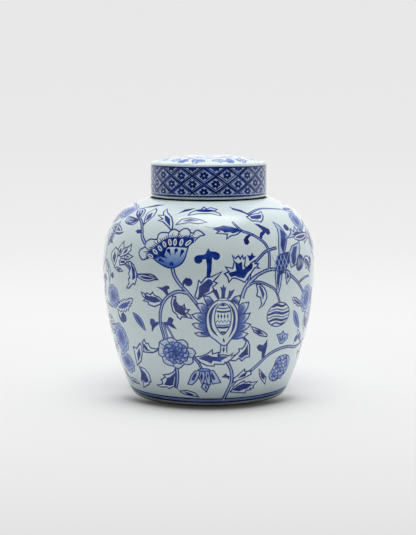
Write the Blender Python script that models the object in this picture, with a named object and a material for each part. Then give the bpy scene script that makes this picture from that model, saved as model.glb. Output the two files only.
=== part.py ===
"""A lidded ginger jar in fired porcelain: a hollow turned body on a foot ring, and a cap lid that slips over its neck.

Metres, +Z up. The origin is the centre of the foot ring, on the surface that the jar stands on.
Both pieces are surfaces of revolution about Z.
"""

import math

import bpy

# Driving dimensions
BELLY_RADIUS = 0.100
SHOULDER_HEIGHT = 0.1850
WALL = 0.0048
FLOOR_HEIGHT = 0.0095
NECK_RADIUS = 0.0488
NECK_WALL = 0.0048
NECK_FILLET = 0.0042
RIM_HEIGHT = 0.2127
RIM_ROUNDING = 0.0022

FOOT_RADIUS = 0.0728
FOOT_CHAMFER = 0.0008
FOOT_RING_WIDTH = 0.0062
FOOT_RECESS = 0.0042
FOOT_RECESS_FILLET = 0.0020

LID_RADIUS = 0.0543
LID_WALL = 0.0042
LID_SKIRT_BOTTOM = 0.1848
LID_SHOULDER_HEIGHT = 0.2172
LID_EDGE_ROUNDING = 0.0025
LID_LIP_ROUNDING = 0.0016
LID_LIP_CHAMFER = 0.0008
LID_DOME_RADIUS = 0.0450
LID_DOME_RISE = 0.0058
LID_DOME_FOOT = 0.0465
LID_DOME_START = 15
LID_SEAT_GAP = 0.0003
LID_SEAT_WIDTH = 0.0080
LID_UNDERSIDE_RISE = 0.0050

TURNED_STEPS = 64
CURVE_STEPS = 2
ROUNDING_STEPS = 4
MERGE_DISTANCE = 0.0001

# The body's outer side as (share of BELLY_RADIUS, share of SHOULDER_HEIGHT), from the foot up to the neck.
BELLY_SHAPE = [
    (0.754, 0.028),
    (0.820, 0.115),
    (0.887, 0.225),
    (0.942, 0.350),
    (0.982, 0.490),
    (1.000, 0.640),
    (0.983, 0.760),
    (0.917, 0.855),
    (0.816, 0.925),
    (0.676, 0.967),
    (0.602, 0.986),
    (0.542, 0.992),
]


def arc(centre, radius, start, end, steps=ROUNDING_STEPS):
    """Points of a round stretch of a profile. Angles are in degrees, 0 outward from the axis and 90 up."""
    points = []
    for i in range(steps + 1):
        angle = math.radians(start + (end - start) * i / steps)
        points.append((centre[0] + radius * math.cos(angle), centre[1] + radius * math.sin(angle)))
    return points


def smooth_curve(points, steps=CURVE_STEPS):
    """A Catmull-Rom curve through points, with this many stretches between each two."""
    ends = [points[0], *points, points[-1]]
    made = []
    for a, b, c, d in zip(ends, ends[1:], ends[2:], ends[3:]):
        for i in range(steps):
            t = i / steps
            made.append(
                tuple(
                    b[k]
                    + 0.5 * t * (c[k] - a[k])
                    + t * t * (a[k] - 2.5 * b[k] + 2 * c[k] - 0.5 * d[k])
                    + t * t * t * (1.5 * (b[k] - c[k]) + 0.5 * (d[k] - a[k]))
                    for k in (0, 1)
                )
            )
    return made + [points[-1]]


def offset_inward(points, distance):
    """The curve moved square to itself, towards the axis and the inside of the body."""
    made = []
    for i, (r, z) in enumerate(points):
        before = points[max(i - 1, 0)]
        after = points[min(i + 1, len(points) - 1)]
        along_r = after[0] - before[0]
        along_z = after[1] - before[1]
        length = math.hypot(along_r, along_z)
        made.append((r - distance * along_z / length, z + distance * along_r / length))
    return made


def dome(radius, edge_height, rise, steps):
    """A shallow round cap from its edge to its crown on the axis."""
    sphere = (radius**2 + rise**2) / (2 * rise)
    made = []
    for i in range(steps + 1):
        r = radius * (1 - i / steps)
        made.append((r, edge_height + rise - sphere + math.sqrt(sphere**2 - r**2)))
    return made


def cushion(radius, edge_height, rise, start, steps):
    """A flat-topped cap: a quarter of an ellipse, from a start angle in degrees up to its crown on the axis."""
    made = []
    for i in range(steps + 1):
        angle = math.radians(start + (90 - start) * i / steps)
        made.append((radius * math.cos(angle) if i < steps else 0, edge_height + rise * math.sin(angle)))
    return made


def body_profile():
    """The body's section from the inner floor's centre, up the inside, over the rim, down the outside to the foot."""
    outer = smooth_curve([(r * BELLY_RADIUS, z * SHOULDER_HEIGHT) for r, z in BELLY_SHAPE])
    inner = offset_inward(outer, WALL)
    neck_inside = NECK_RADIUS - NECK_WALL
    inner = [p for p in inner if p[1] > FLOOR_HEIGHT + WALL / 2 and p[0] > neck_inside + WALL]
    floor_corner = (inner[0][0] - WALL, FLOOR_HEIGHT)
    rim_centre = RIM_HEIGHT - RIM_ROUNDING
    neck_start = outer[-1][1] + NECK_FILLET
    recess_inside = FOOT_RADIUS - FOOT_RING_WIDTH - FOOT_RECESS_FILLET
    recess_corner = FOOT_RECESS - FOOT_RECESS_FILLET

    points = [(0, FLOOR_HEIGHT), floor_corner]
    points += inner
    points += [(neck_inside, inner[-1][1] + WALL)]
    points += arc((neck_inside + RIM_ROUNDING, rim_centre), RIM_ROUNDING, 180, 90)
    points += arc((NECK_RADIUS - RIM_ROUNDING, rim_centre), RIM_ROUNDING, 90, 0)
    points += arc((NECK_RADIUS + NECK_FILLET, neck_start), NECK_FILLET, 180, 270)[:-1]
    points += outer[::-1]
    points += [(FOOT_RADIUS, FOOT_CHAMFER), (FOOT_RADIUS - FOOT_CHAMFER, 0)]
    points += [(FOOT_RADIUS - FOOT_RING_WIDTH, 0)]
    points += arc((recess_inside, recess_corner), FOOT_RECESS_FILLET, 0, 90)
    points += [(0, FOOT_RECESS)]
    return points


def lid_profile():
    """The lid's section from the crown, down the outside, round the lip, up the inside to its ceiling's middle."""
    inside = LID_RADIUS - LID_WALL
    seat = RIM_HEIGHT + LID_SEAT_GAP
    hollow = inside - LID_SEAT_WIDTH
    lip_centre = LID_SKIRT_BOTTOM + LID_LIP_ROUNDING
    edge_centre = (LID_RADIUS - LID_EDGE_ROUNDING, LID_SHOULDER_HEIGHT - LID_EDGE_ROUNDING)

    points = cushion(LID_DOME_RADIUS, LID_SHOULDER_HEIGHT, LID_DOME_RISE, LID_DOME_START, 8)[::-1]
    points += [(LID_DOME_FOOT, LID_SHOULDER_HEIGHT)]
    points += arc(edge_centre, LID_EDGE_ROUNDING, 90, 0)
    points += arc((LID_RADIUS - LID_LIP_ROUNDING, lip_centre), LID_LIP_ROUNDING, 0, -90)
    points += [(inside + LID_LIP_CHAMFER, LID_SKIRT_BOTTOM), (inside, LID_SKIRT_BOTTOM + LID_LIP_CHAMFER)]
    points += [(inside, seat)]
    points += dome(hollow, seat, LID_UNDERSIDE_RISE, 6)
    return points


def porcelain(name, colour, roughness):
    """A glazed or painted ceramic surface."""
    material = bpy.data.materials.new(name)
    material.use_nodes = True
    shader = material.node_tree.nodes["Principled BSDF"]
    shader.inputs["Base Color"].default_value = (*colour, 1)
    shader.inputs["Roughness"].default_value = roughness
    shader.inputs["Metallic"].default_value = 0
    return material


def turned(name, profile, material):
    """One solid of revolution about Z from its section, which runs down its outer side."""
    mesh = bpy.data.meshes.new(name)
    edges = [(i, i + 1) for i in range(len(profile) - 1)]
    mesh.from_pydata([(r, 0, z) for r, z in profile], edges, [])
    mesh.materials.append(material)
    piece = bpy.data.objects.new(name, mesh)
    bpy.context.scene.collection.objects.link(piece)
    screw = piece.modifiers.new("turn", "SCREW")
    screw.axis = "Z"
    screw.steps = TURNED_STEPS
    screw.render_steps = TURNED_STEPS
    screw.use_merge_vertices = True
    screw.merge_threshold = MERGE_DISTANCE
    screw.use_smooth_shade = True
    return piece


def main():
    for existing in list(bpy.data.objects):
        bpy.data.objects.remove(existing)
    jar_glaze = porcelain("jar_glaze", (0.66, 0.72, 0.73), 0.12)
    lid_glaze = porcelain("lid_glaze", (0.22, 0.30, 0.55), 0.12)
    turned("jar_body", body_profile(), jar_glaze)
    turned("lid", lid_profile(), lid_glaze)


main()
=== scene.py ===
"""Looks of a blue and white ginger jar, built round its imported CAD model.

Both pieces are turned on Z, so each mesh here is the CAD node's own section, made smooth and swept round.
The painting is drawn as outlines on flat sheets, in millimetres, cut into triangles along every outline, and
wrapped on the pottery. Each triangle's corners carry how much cobalt lies there, and the glaze turns that into
colour. Most outlines and stems were read off the reference photo by eye, and a separate script turned them into
millimetres.
"""

import math

import bmesh
import bpy
import numpy as np
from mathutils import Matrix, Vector
from mathutils.geometry import delaunay_2d_cdt


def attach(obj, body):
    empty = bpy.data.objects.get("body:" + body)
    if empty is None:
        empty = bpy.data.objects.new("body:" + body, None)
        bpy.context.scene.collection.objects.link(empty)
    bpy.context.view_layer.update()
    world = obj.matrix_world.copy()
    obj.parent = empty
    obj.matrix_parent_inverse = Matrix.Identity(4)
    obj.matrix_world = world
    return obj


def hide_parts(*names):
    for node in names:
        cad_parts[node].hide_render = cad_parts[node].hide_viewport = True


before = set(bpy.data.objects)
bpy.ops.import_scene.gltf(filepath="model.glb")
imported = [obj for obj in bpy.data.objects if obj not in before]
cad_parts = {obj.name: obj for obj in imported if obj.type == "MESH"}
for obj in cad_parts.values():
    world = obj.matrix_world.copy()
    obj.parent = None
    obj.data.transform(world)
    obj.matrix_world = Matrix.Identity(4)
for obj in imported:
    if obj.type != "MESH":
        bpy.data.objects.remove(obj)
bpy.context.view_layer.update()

# Everything drawn is in millimetres. Heights up a wall are measured along its section, from its lower edge.
MM = 0.001
COLUMNS = 144
TOUCH = 1e-5
WELD = 2e-6
CUT_TOLERANCE = 1e-3
CORNER_ANGLE = math.radians(33)
SECTION_STEP = 3.2
STRAIGHT_LENGTH = 16.0
CELL = 4.6
CELL_BEND = math.radians(5)
EDGE_MARGIN = 0.25

NECK_JOIN_RADIUS = 56.0
LID_TOP_RADIUS = 51.9

FOOT_LINES = ((5.1, 1.7), (8.8, 1.3))
FOOT_WASH = (5.1, 8.8)

LID_BAND = (5.0, 32.2)
LID_COLUMNS = 16
LID_FIRST_CELL = -94.5
LID_ROW_HEIGHTS = (4.2, 11.7, 19.2, 26.7)
LID_CELL_HALF_HEIGHT = 7.5
LID_INNER_SHARE = 0.76
LATTICE_LINE = 1.6
LATTICE_INNER_LINE = 0.95
LID_EDGE_LINE = 50.4
CROWN_WAVES = 6
CROWN_VINE = (33.0, 4.5)
LID_WASH = 0.14
# The lid top's cobalt is weakened to this share: partly a paler painting, partly painted reflection of the
# bright light above.
CROWN_INK_AND_SHEEN = 0.62

# How much cobalt is laid, and the order of laying it
BARE = 0.0
STEM = 0.13
PALE = 0.22
WASH = 0.42
DEEP = 0.66
DARK = 0.90
FULL = 1.0
LINE = 0.86
UNDER, CORE, OVER = 0, 1, 2

OUTLINE = 1.3
HEART_GROWTH = 0.55
STEP = 2.3
MITER_LIMIT = 2.0
LEAF_TOOTH = 0.45
LEAF_HEART = 0.5

# Colours by the amount of cobalt under the glaze
PAINT_RAMP = (
    (0.00, (0.73, 0.84, 0.86)),
    (0.20, (0.31, 0.46, 0.76)),
    (0.42, (0.105, 0.215, 0.60)),
    (0.66, (0.018, 0.070, 0.42)),
    (0.85, (0.003, 0.022, 0.21)),
    (1.00, (0.002, 0.008, 0.09)),
)
GLAZE_CLOUD = (0.66, 0.80, 0.80)
SPECK = (0.25, 0.22, 0.18)
# The bare foot's clay: darker than the neck's biscuit, partly its own brown and partly painted shade where the
# foot meets the floor.
FOOT_CLAY_AND_SHADE_PALE = (0.34, 0.28, 0.19)
FOOT_CLAY_AND_SHADE_DARK = (0.13, 0.10, 0.06)
BISCUIT_PALE = (0.62, 0.57, 0.49)
BISCUIT_DARK = (0.46, 0.41, 0.33)
FOOT_BARE_BELOW = 0.0012
NECK_BARE_ABOVE = 0.18335
# The neck just above its bare edge is painted near black, up to these depths above it: painted shade in the gap
# under the lid.
LID_GAP_SHADE_DEPTH = (0.0014, 0.0030)
LID_GAP_SHADE = (0.022, 0.018, 0.015)

# The studio
FLOOR_RADIUS = 1.3
FLOOR_SOLID = 0.30
FLOOR_BOUNCE = 0.80
FLOOR_GLOW = 0.52
FLOOR_PAPER = 0.40
# The floor's colour by depth, front to back: painted shade, darker towards the camera.
FLOOR_DEPTH = (-0.45, 0.35)
FLOOR_RAMP = (
    (0.00, (0.74, 0.74, 0.74)),
    (0.16, (0.81, 0.81, 0.81)),
    (0.36, (0.865, 0.865, 0.865)),
    (1.00, (0.915, 0.915, 0.915)),
)
# Painted contact shadow on the floor in front of the jar, by distance from its axis: dim in the narrow wedge
# under the belly
CONTACT_REACH = (0.072, 0.130)
CONTACT_FRONT = (0.015, 0.060)
CONTACT_RAMP = (
    (0.00, (0.05, 0.05, 0.05)),
    (0.17, (0.13, 0.13, 0.13)),
    (0.34, (0.66, 0.66, 0.66)),
    (0.53, (0.89, 0.89, 0.89)),
    (0.75, (0.965, 0.965, 0.965)),
    (1.00, (1.0, 1.0, 1.0)),
)
STUDIO_RAMP = (
    (0.0, (0.04, 0.04, 0.04)),
    (0.20, (0.09, 0.09, 0.09)),
    (0.40, (0.28, 0.28, 0.28)),
    (0.65, (0.80, 0.80, 0.80)),
    (1.0, (1.02, 1.02, 1.02)),
)
STUDIO_AXIS = (0.14, 1.0, 0.0)
GLOW_AIM = (0.03, -0.06, 1.0)
GLOW_EDGE = (0.86, 0.985)
GLOW_RADIANCE = 5.4
BACKDROP_HEIGHTS = (-0.18, 0.10)
BACKDROP_RAMP = (
    (0.00, (0.90, 0.90, 0.90)),
    (0.20, (0.87, 0.87, 0.87)),
    (0.38, (0.84, 0.84, 0.84)),
    (0.54, (0.815, 0.815, 0.815)),
    (1.00, (0.80, 0.80, 0.80)),
)
CAMERA_PLACE = (-0.0006, -1.159, 0.268)
CAMERA_LENS = 82.97
CAMERA_DIP = 7.44


# ---------------------------------------------------------------- drawing on a sheet

def curve(points, closed=False, step=STEP):
    """A smooth line through a few points, as points about one step apart."""
    p = np.array(points, float)
    if len(p) == 2:
        count = max(3, int(np.hypot(*(p[1] - p[0])) / step) + 1)
        return p[0] + np.linspace(0, 1, count)[:, None] * (p[1] - p[0])
    ring = np.vstack([p[-1], p, p[0], p[1]]) if closed else np.vstack([p[0], p, p[-1]])
    made = []
    for a, b, c, d in zip(ring, ring[1:], ring[2:], ring[3:]):
        count = max(1, round(np.hypot(*(c - b)) / step))
        t = np.linspace(0, 1, count, endpoint=False)[:, None]
        made.append(
            b
            + 0.5 * t * (c - a)
            + t**2 * (a - 2.5 * b + 2 * c - 0.5 * d)
            + t**3 * (1.5 * (b - c) + 0.5 * (d - a))
        )
    return np.vstack(made) if closed else np.vstack([*made, p[-1:]])


def share_along(points):
    """How far along a line each of its points is, from 0 to 1."""
    length = np.concatenate([[0], np.cumsum(np.hypot(*np.diff(points, axis=0).T))])
    return length / length[-1]


def sides(points, half_width, stretch=1.0):
    """The closed outline of a line that is half_width wide to each side. Across the sheet it is stretched."""
    real = points / np.column_stack([np.broadcast_to(stretch, len(points)), np.ones(len(points))])
    along = np.gradient(real, axis=0)
    along /= np.maximum(np.hypot(*along.T), 1e-9)[:, None]
    across = np.column_stack([-along[:, 1], along[:, 0]])
    offset = across * np.broadcast_to(half_width, len(points))[:, None]
    offset[:, 0] *= stretch
    return np.vstack([points + offset, (points - offset)[::-1]])


def ellipse(centre, rx, ry, turn=0.0):
    """A closed oval. turn is in degrees, anticlockwise."""
    count = max(8, int(2 * math.pi * max(rx, ry) / STEP))
    angle = np.linspace(0, 2 * math.pi, count, endpoint=False)
    x, y = rx * np.cos(angle), ry * np.sin(angle)
    c, s = math.cos(math.radians(turn)), math.sin(math.radians(turn))
    return np.column_stack([centre[0] + x * c - y * s, centre[1] + x * s + y * c])


def grown(outline, distance):
    """A closed outline moved outward, or inward if distance is negative. Its corners stay sharp, to a limit."""
    p = np.array(outline, float)
    into = p - np.roll(p, 1, axis=0)
    into /= np.maximum(np.hypot(*into.T), TOUCH)[:, None]
    onward = np.roll(into, -1, axis=0)
    along = into + onward
    along /= np.maximum(np.hypot(*along.T), TOUCH)[:, None]
    miter = 1 / np.maximum((along * into).sum(axis=1), 1 / MITER_LIMIT)
    x, y = p.T
    anticlockwise = np.sign(x @ np.roll(y, -1) - y @ np.roll(x, -1))
    outward = np.column_stack([along[:, 1], -along[:, 0]]) * anticlockwise
    return p + outward * (distance * miter)[:, None]


class Sheet:
    """A flat sheet that is later put on the pottery, on a wall if one is given, and the shapes painted on it.

    strength is how strong the cobalt is that it is painted with.
    """

    def __init__(self, wall=None, strength=1.0):
        self.wall = wall
        self.strength = strength
        self.shapes = []

    def stretch(self, heights):
        """How much longer a real millimetre across is on the sheet, at these heights."""
        if self.wall is None:
            return np.ones_like(heights)
        return self.wall.girth / self.wall.radius_at(heights)

    def spot(self, anchor):
        """An anchor on the sheet. On a wall it is given as (degrees round, height up the wall)."""
        if self.wall is None:
            return np.array(anchor, float)
        return np.array([math.radians(anchor[0]) * self.wall.girth, anchor[1]])

    def add(self, outline, tone, level=OVER, fade=None):
        """Paints an outline. fade is (start, end, tone at end) for a wash that changes along a line."""
        if fade is not None:
            fade = (fade[0], fade[1], fade[2] * self.strength)
        self.shapes.append((level, outline, tone * self.strength, fade))

    def trail(self, anchors, width=3.7, core=STEM, line=OUTLINE, ends=0.8):
        """A stem between anchors: a thin wash between two dark lines."""
        path = curve([self.spot(a) for a in anchors])
        stretch = self.stretch(path[:, 1])
        t = share_along(path)
        grown = width / 2 * (1 - (1 - ends) * t)
        self.add(sides(path, grown, stretch), LINE, UNDER)
        self.add(sides(path, np.maximum(grown - line, 0.2), stretch), core, CORE)


class Pen:
    """Draws in millimetres about an anchor on a sheet. Its motifs can be turned, resized and flipped."""

    def __init__(self, sheet, anchor, turn=0.0, size=1.0, flip=False, level=OVER):
        self.sheet = sheet
        self.spot = sheet.spot(anchor)
        self.turn = math.radians(turn)
        self.size = size
        self.flip = -1.0 if flip else 1.0
        self.level = level

    def place(self, points):
        p = np.array(points, float).reshape(-1, 2) * self.size
        p[:, 0] *= self.flip
        c, s = math.cos(self.turn), math.sin(self.turn)
        x, y = p[:, 0] * c - p[:, 1] * s, p[:, 0] * s + p[:, 1] * c
        up = self.spot[1] + y
        return np.column_stack([self.spot[0] + x * self.sheet.stretch(up), up])

    def fill(self, outline, tone, fade=None, level=None):
        """Paints a closed outline. fade is (from point, to point, tone there)."""
        if fade is not None:
            ends = self.place([fade[0], fade[1]])
            fade = (ends[0], ends[1], fade[2])
        self.sheet.add(self.place(outline), tone, self.level if level is None else level, fade)

    def outlined(self, outline, inside, line=OUTLINE, tone=LINE, fade=None):
        """A closed outline with a dark border round what is inside it."""
        half = line / self.size / 2
        self.fill(grown(outline, half), tone)
        self.fill(grown(outline, -half), inside, fade)

    def line(self, points, width=OUTLINE, tone=LINE, taper=(0.35, 0.35), smooth=True):
        """A brush line. taper is how thin each end gets, as a share of the width."""
        path = curve(points) if smooth else np.array(points, float)
        t = share_along(path)
        swell = taper[0] + (1 - taper[0]) * np.minimum(1, t * 4)
        swell *= taper[1] + (1 - taper[1]) * np.minimum(1, (1 - t) * 4)
        self.fill(sides(path, width / self.size / 2 * swell), tone)

    def leaf(self, spine, width, teeth=0, blade=DARK):
        """A leaf from base to tip: a dark edge, a bare band inside it, and a dark blade along its spine."""
        path = curve(spine, step=1.0)
        t = share_along(path)
        body = np.sin(math.pi * np.clip(t, 0, 1) ** 0.8) ** 0.8
        saw = 1 - LEAF_TOOTH * ((t * teeth) % 1.0) if teeth else 1.0
        edge = width / 2 * body * saw
        line = OUTLINE / self.size
        self.fill(sides(path, edge + line * 0.5), LINE)
        self.fill(sides(path, np.maximum(edge - line * 0.5, 0.0)), BARE)
        heart = np.sin(math.pi * np.clip((t - 0.10) / 0.76, 0, 1)) ** 0.5
        kept = heart > 0
        self.fill(sides(path[kept], (edge * LEAF_HEART * heart)[kept]), blade)

    def blade(self, spine, width, tone=DARK, bias=0.8):
        """A solid brush stroke, pointed at both ends."""
        path = curve(spine)
        t = share_along(path)
        self.fill(sides(path, width / 2 * np.sin(math.pi * t**bias) ** 0.7 + 0.12), tone)

    def comma(self, spine, width, tone=DARK, root=0.9):
        """A solid stroke that swells from a thin root into a round end."""
        path = curve(spine)
        t = share_along(path)
        self.fill(sides(path, root / 2 + (width - root) / 2 * t**1.6), tone)
        self.fill(ellipse(path[-1], width / 2 * 1.12, width / 2 * 1.12), tone)
def at(path, share):
    """The point a share of the way along a line."""
    t = share_along(path)
    return np.array([np.interp(share, t, path[:, 0]), np.interp(share, t, path[:, 1])])


def between(a, b, share):
    return np.array(a, float) + share * (np.array(b, float) - np.array(a, float))


# ---------------------------------------------------------------- leaves: (outline, dark heart)

THISTLE = (
    [(0, 0), (-2.5, 2.5), (-0.5, 9.5), (1, 17), (3, 14.5), (7, 19.5), (12, 20), (21, 24.5), (17.5, 20),
     (13.5, 16),
     (17, 14.5), (13, 11), (14, 8.5), (11.5, 6), (4, 3)],
    [(0, 0.5), (1.5, 5.5), (1.5, 11), (5.5, 14.5), (9.5, 17.5), (11.5, 17), (13, 14), (10.5, 11),
     (9.5, 7.5), (4.5, 4.5)],
)
IVY = (
    [(-1, 0), (-5, 2), (-9.5, 4), (-12.5, 4), (-15.5, 0.5), (-16.5, 5), (-19.5, 8), (-15.5, 10),
     (-18.5, 14),
     (-12, 12.5), (-10.5, 18.5), (-12, 24), (-9.5, 21), (-6.5, 23.5), (-5, 20.5), (-3, 23.5), (-2, 20.5),
     (0, 22),
     (-1.5, 14), (1, 12.5), (5.5, 17), (8.5, 18.5), (8.5, 16), (12, 15.5), (10.5, 13.5), (13, 11.5),
     (8.5, 12.5),
     (6.5, 10), (2.5, 5)],
    [(-15.5, 8.5), (-10, 9.5), (-8.5, 10.5), (-9.5, 18), (-7, 16), (-4, 17.5), (-3.5, 10), (2, 14),
     (6, 15.5),
     (5.5, 12), (1, 8.5), (-2, 4), (-7, 5), (-10, 6.5), (-13.5, 5.5)],
)
PENDANT = (
    [(-0.5, -1.5), (1, -7.5), (0, -11.5), (4, -13.5), (5.5, -19.5), (3, -23.5), (7.5, -20.5), (10.5, -14.5),
     (10, -9.5), (7.5, -5), (4, -2)],
    [(2.5, -3.5), (5, -9), (6.5, -15), (7.5, -10.5), (5.5, -6.5), (3.5, -3.5)],
)
WEST_LEAF = (
    [(0.5, 0.5), (-3, 3), (-7.5, 4.5), (-9, 7), (-11.5, 4.5), (-15.5, 6), (-16.5, 4.5), (-21.5, 6),
     (-19.5, 2),
     (-16.5, 1), (-19.5, -1.5), (-14, -2.5), (-14, -4.5), (-8, -6), (-2, -3.5)],
    [(-17.5, 4), (-13, 2.5), (-11, 3), (-5, 2), (-1.5, -0.5), (-7.5, -2), (-13.5, -1), (-16.5, 0)],
)
SOUTH_LEAF = (
    [(-1, 0), (-2.5, -6.5), (-1, -13.5), (2.5, -16.5), (3, -18.5), (5.5, -20.5), (7, -18), (11.5, -18.5),
     (16, -19.5), (14, -16), (11.5, -14.5), (14, -11.5), (10.5, -11.5), (9.5, -7), (8, -9), (4.5, -8),
     (2, -4.5), (2, 0)],
    [(0.5, -2), (-0.5, -7), (1.5, -13), (6.5, -16), (11.5, -17.5), (9.5, -13.5), (9, -10), (5, -9),
     (2, -5.5)],
)
LONG_LEAF = (
    [(0, 0), (5.5, 0.5), (11.5, 3), (16, 7), (16, 3), (22, 4.5), (21, 2), (25.5, 2), (31, 1), (34.5, 3.5),
     (32.5, 0), (38, 2.5), (36, -0.5), (31.5, -3.5), (29, -5.5), (27, -5.5), (26, -7.5), (17.5, -7),
     (17, -9),
     (10.5, -8.5), (5.5, -5.5)],
    [(4.5, -1.5), (10, 1), (12.5, 1.5), (15.5, 0), (20.5, -0.5), (21.5, 1.5), (23.5, 0), (29.5, 0),
     (23.5, -3),
     (23, -4.5), (16, -3), (14.5, -6), (11.5, -4)],
)
TWIST_LEAF = (
    [(-0.5, 0), (3, 3.5), (7.5, 8), (7, 10.5), (10, 10.5), (12, 13), (13.5, 17), (9.5, 21.5), (11, 21.5),
     (15.5, 17), (17, 13), (17.5, 2), (14.5, 2), (12, 0), (10.5, -1.5), (7.5, 1.5), (4, -1)],
    [(15, 14), (15.5, 4.5), (13, 4), (10, 1.5), (7.5, 3.5), (10.5, 6.5), (13, 9)],
)
FOOT_LEAF = (
    [(-0.5, 0), (2.5, 5), (7, 8.5), (11.5, 11), (12.5, 9), (17.5, 9.5), (18, 8), (25.5, 8.5),
     (21.5, 4.5), (22, 2),
     (18.5, 2), (19.5, 0.5), (14.5, 0), (14, -2.5), (7.5, -1.5)],
    [(2, 2), (6.5, 6), (11, 7.5), (16, 7), (20, 5.5), (17.5, 4.5), (15, 2.5), (11, 2), (8, 0.5)],
)
SHEATH = (
    [(0, 2.5), (4.5, 6.5), (10, 12), (10.5, 9.5), (16.5, 9.5), (17, 6), (9.5, 2.5), (5, 1), (0.5, -1)],
    [(5, 3.5), (8.5, 6.5), (12.5, 8.5), (11, 5)],
)
PEONY_LEAF = (
    [(-1, 0.5), (-3, -3), (-7.5, -5.5), (-13.5, -7), (-11.5, -9), (-17, -12.5), (-15.5, -14), (-16, -17),
     (-22.5, -19), (-18.5, -20.5), (-12, -19.5), (-10, -21), (-4, -18), (-1.5, -8.5)],
    [(-1.5, -4), (-7, -9), (-10, -10), (-11, -13.5), (-13.5, -17), (-9.5, -17.5), (-5.5, -16.5),
     (-3.5, -9.5)],
)
FOOT_BLADE = (
    [(0, 0), (3, -3.5), (10.5, -2.5), (17, -4.5), (20, -9), (14, -8), (7.5, -6.5), (3.5, -4.5)],
    [(7.5, -4), (12.5, -5.5), (15.5, -7), (11.5, -7)],
)
SPRAY_LEAF = (
    [(3, -2), (3, 2.5), (2, 5), (5.5, 9), (7, 5), (9.5, 5.5), (11, 1.5), (16.5, 1), (20, 1.5), (14, -2.5),
     (7.5, -3.5), (2, -3.5)],
    [(4, 4.5), (6.5, 2), (8, -1), (11, -1.5), (6, -1.5), (4, 1.5)],
)
FORKED_LEAF = (
    [(-1, -0.5), (-0.5, 9), (-0.5, 18), (4, 17), (10, 23), (11.5, 19.5), (10, 12.5), (6, 4.5)],
    [(2, 4), (3.5, 11.5), (7.5, 17.5), (7.5, 12)],
)
DROOPING_LEAF = (
    [(-1, -0.5), (6, -1.5), (10, -6.5), (9.5, -15), (7, -15), (5.5, -18), (-4, -23), (-2, -17),
     (-4, -15.5), (0, -7)],
    [(0.5, -2.5), (5, -6.5), (6.5, -12.5), (5, -15), (0.5, -16.5), (-2, -14)],
)
STAR_TAIL = (
    [(-1.5, -0.5), (1.5, 0.5), (6.5, -2.5), (10.5, -9.5), (9.5, -16), (7.5, -20), (5.5, -19), (-0.5, -24),
     (-3.5, -24), (0.5, -19), (-0.5, -15.5), (1.5, -14.5), (0, -10.5), (2.5, -5.5)],
    [(2.5, -0.5), (7.5, -7), (8, -13.5), (5, -15.5), (5.5, -10.5), (4.5, -6)],
)
STAR_BLADE = (
    [(11.5, -10), (18.5, -9.5), (25.5, -9), (29.5, -10), (33.5, -13.5), (27, -14), (20.5, -14.5),
     (15, -13.5)],
    [(17, -11.5), (24, -10.5), (29.5, -11.5), (23.5, -12.5)],
)
HOOKED_LEAF = (
    [(0, 0), (-4.5, 4), (-10, 8), (-15, 9), (-11, 11), (-17.5, 15.5), (-12, 15.5), (-14, 21), (-12.5, 26),
     (-10, 20.5), (-3, 13.5), (0, 7.5), (1, 1.5)],
    [(-2, 4), (-8, 10), (-10.5, 16), (-4.5, 11.5)],
)
RIDGE_LEAF = (
    [(-38.5, 7.5), (-32, 6), (-29, 6), (-22, 8), (-15.5, 6.5), (-7, 3), (-12, -0.5), (-17.5, -1.5),
     (-22, -4.5),
     (-20.5, 0), (-30, 1), (-27, 3), (-33, 6)],
    [(-29, 5), (-22, 7.5), (-15.5, 6), (-8, 3), (-15.5, 1), (-17.5, 2.5), (-22.5, 2), (-23.5, 3.5)],
)
BUD_LEAF = (
    [(-0.5, 0.5), (-3, 6.5), (-5, 12.5), (-4.5, 16), (-3, 18), (-1.5, 22), (2.5, 18.5), (5, 10.5),
     (3.5, 7)],
    [(-0.5, 5), (-2, 11), (0, 14.5), (2.5, 8.5)],
)
CROWN_LEAF = (
    [(-17.5, -11.5), (-15, -6.5), (-10, -2), (-4, 0), (-1.5, 5), (1.5, 1), (5.5, 4), (12.5, 0), (9, -3.5),
     (15, -7.5), (17, -12), (6, -8), (-6, -8)],
    [(-10, -3), (-4, -1), (0, 0), (6.5, -1), (10.5, -3), (4, -4.5), (-3, -4.5)],
)
SLIM_LEAF = (
    [(-14, -3.5), (-9.5, 2.5), (-2, 4.5), (6.5, 2.5), (13.5, -0.5), (6, -2), (-3, -1)],
    [(-8, 0.5), (-2, 3), (5, 1.5), (-2, 0.5)],
)
SHOULDER_LEAF = (
    [(-9.5, 1), (-3, 4), (5, 5), (9.5, 7.5), (8, 1), (5.5, -3), (2, -6), (0, -4.5), (-6.5, -4), (-8, -1.5)],
    [(-5.5, 1), (-0.5, 2), (6, 2.5), (4, -1), (0, -2), (-5.5, -1)],
)
SHADE_LEAF = (
    [(0, 0), (3, -5), (10, -9.5), (17, -11), (17, -9), (12, -5.5), (5, -2)],
    [(3, -3), (8, -7), (13, -8.5), (9, -5)],
)
NOTCHED_LEAF = (
    [(0, 0), (1.5, -5.5), (3.5, -9.5), (11, -17.5), (10.5, -10.5), (5, -5)],
    [(2.5, -4), (5, -9), (8.5, -12), (7.5, -8)],
)

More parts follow.
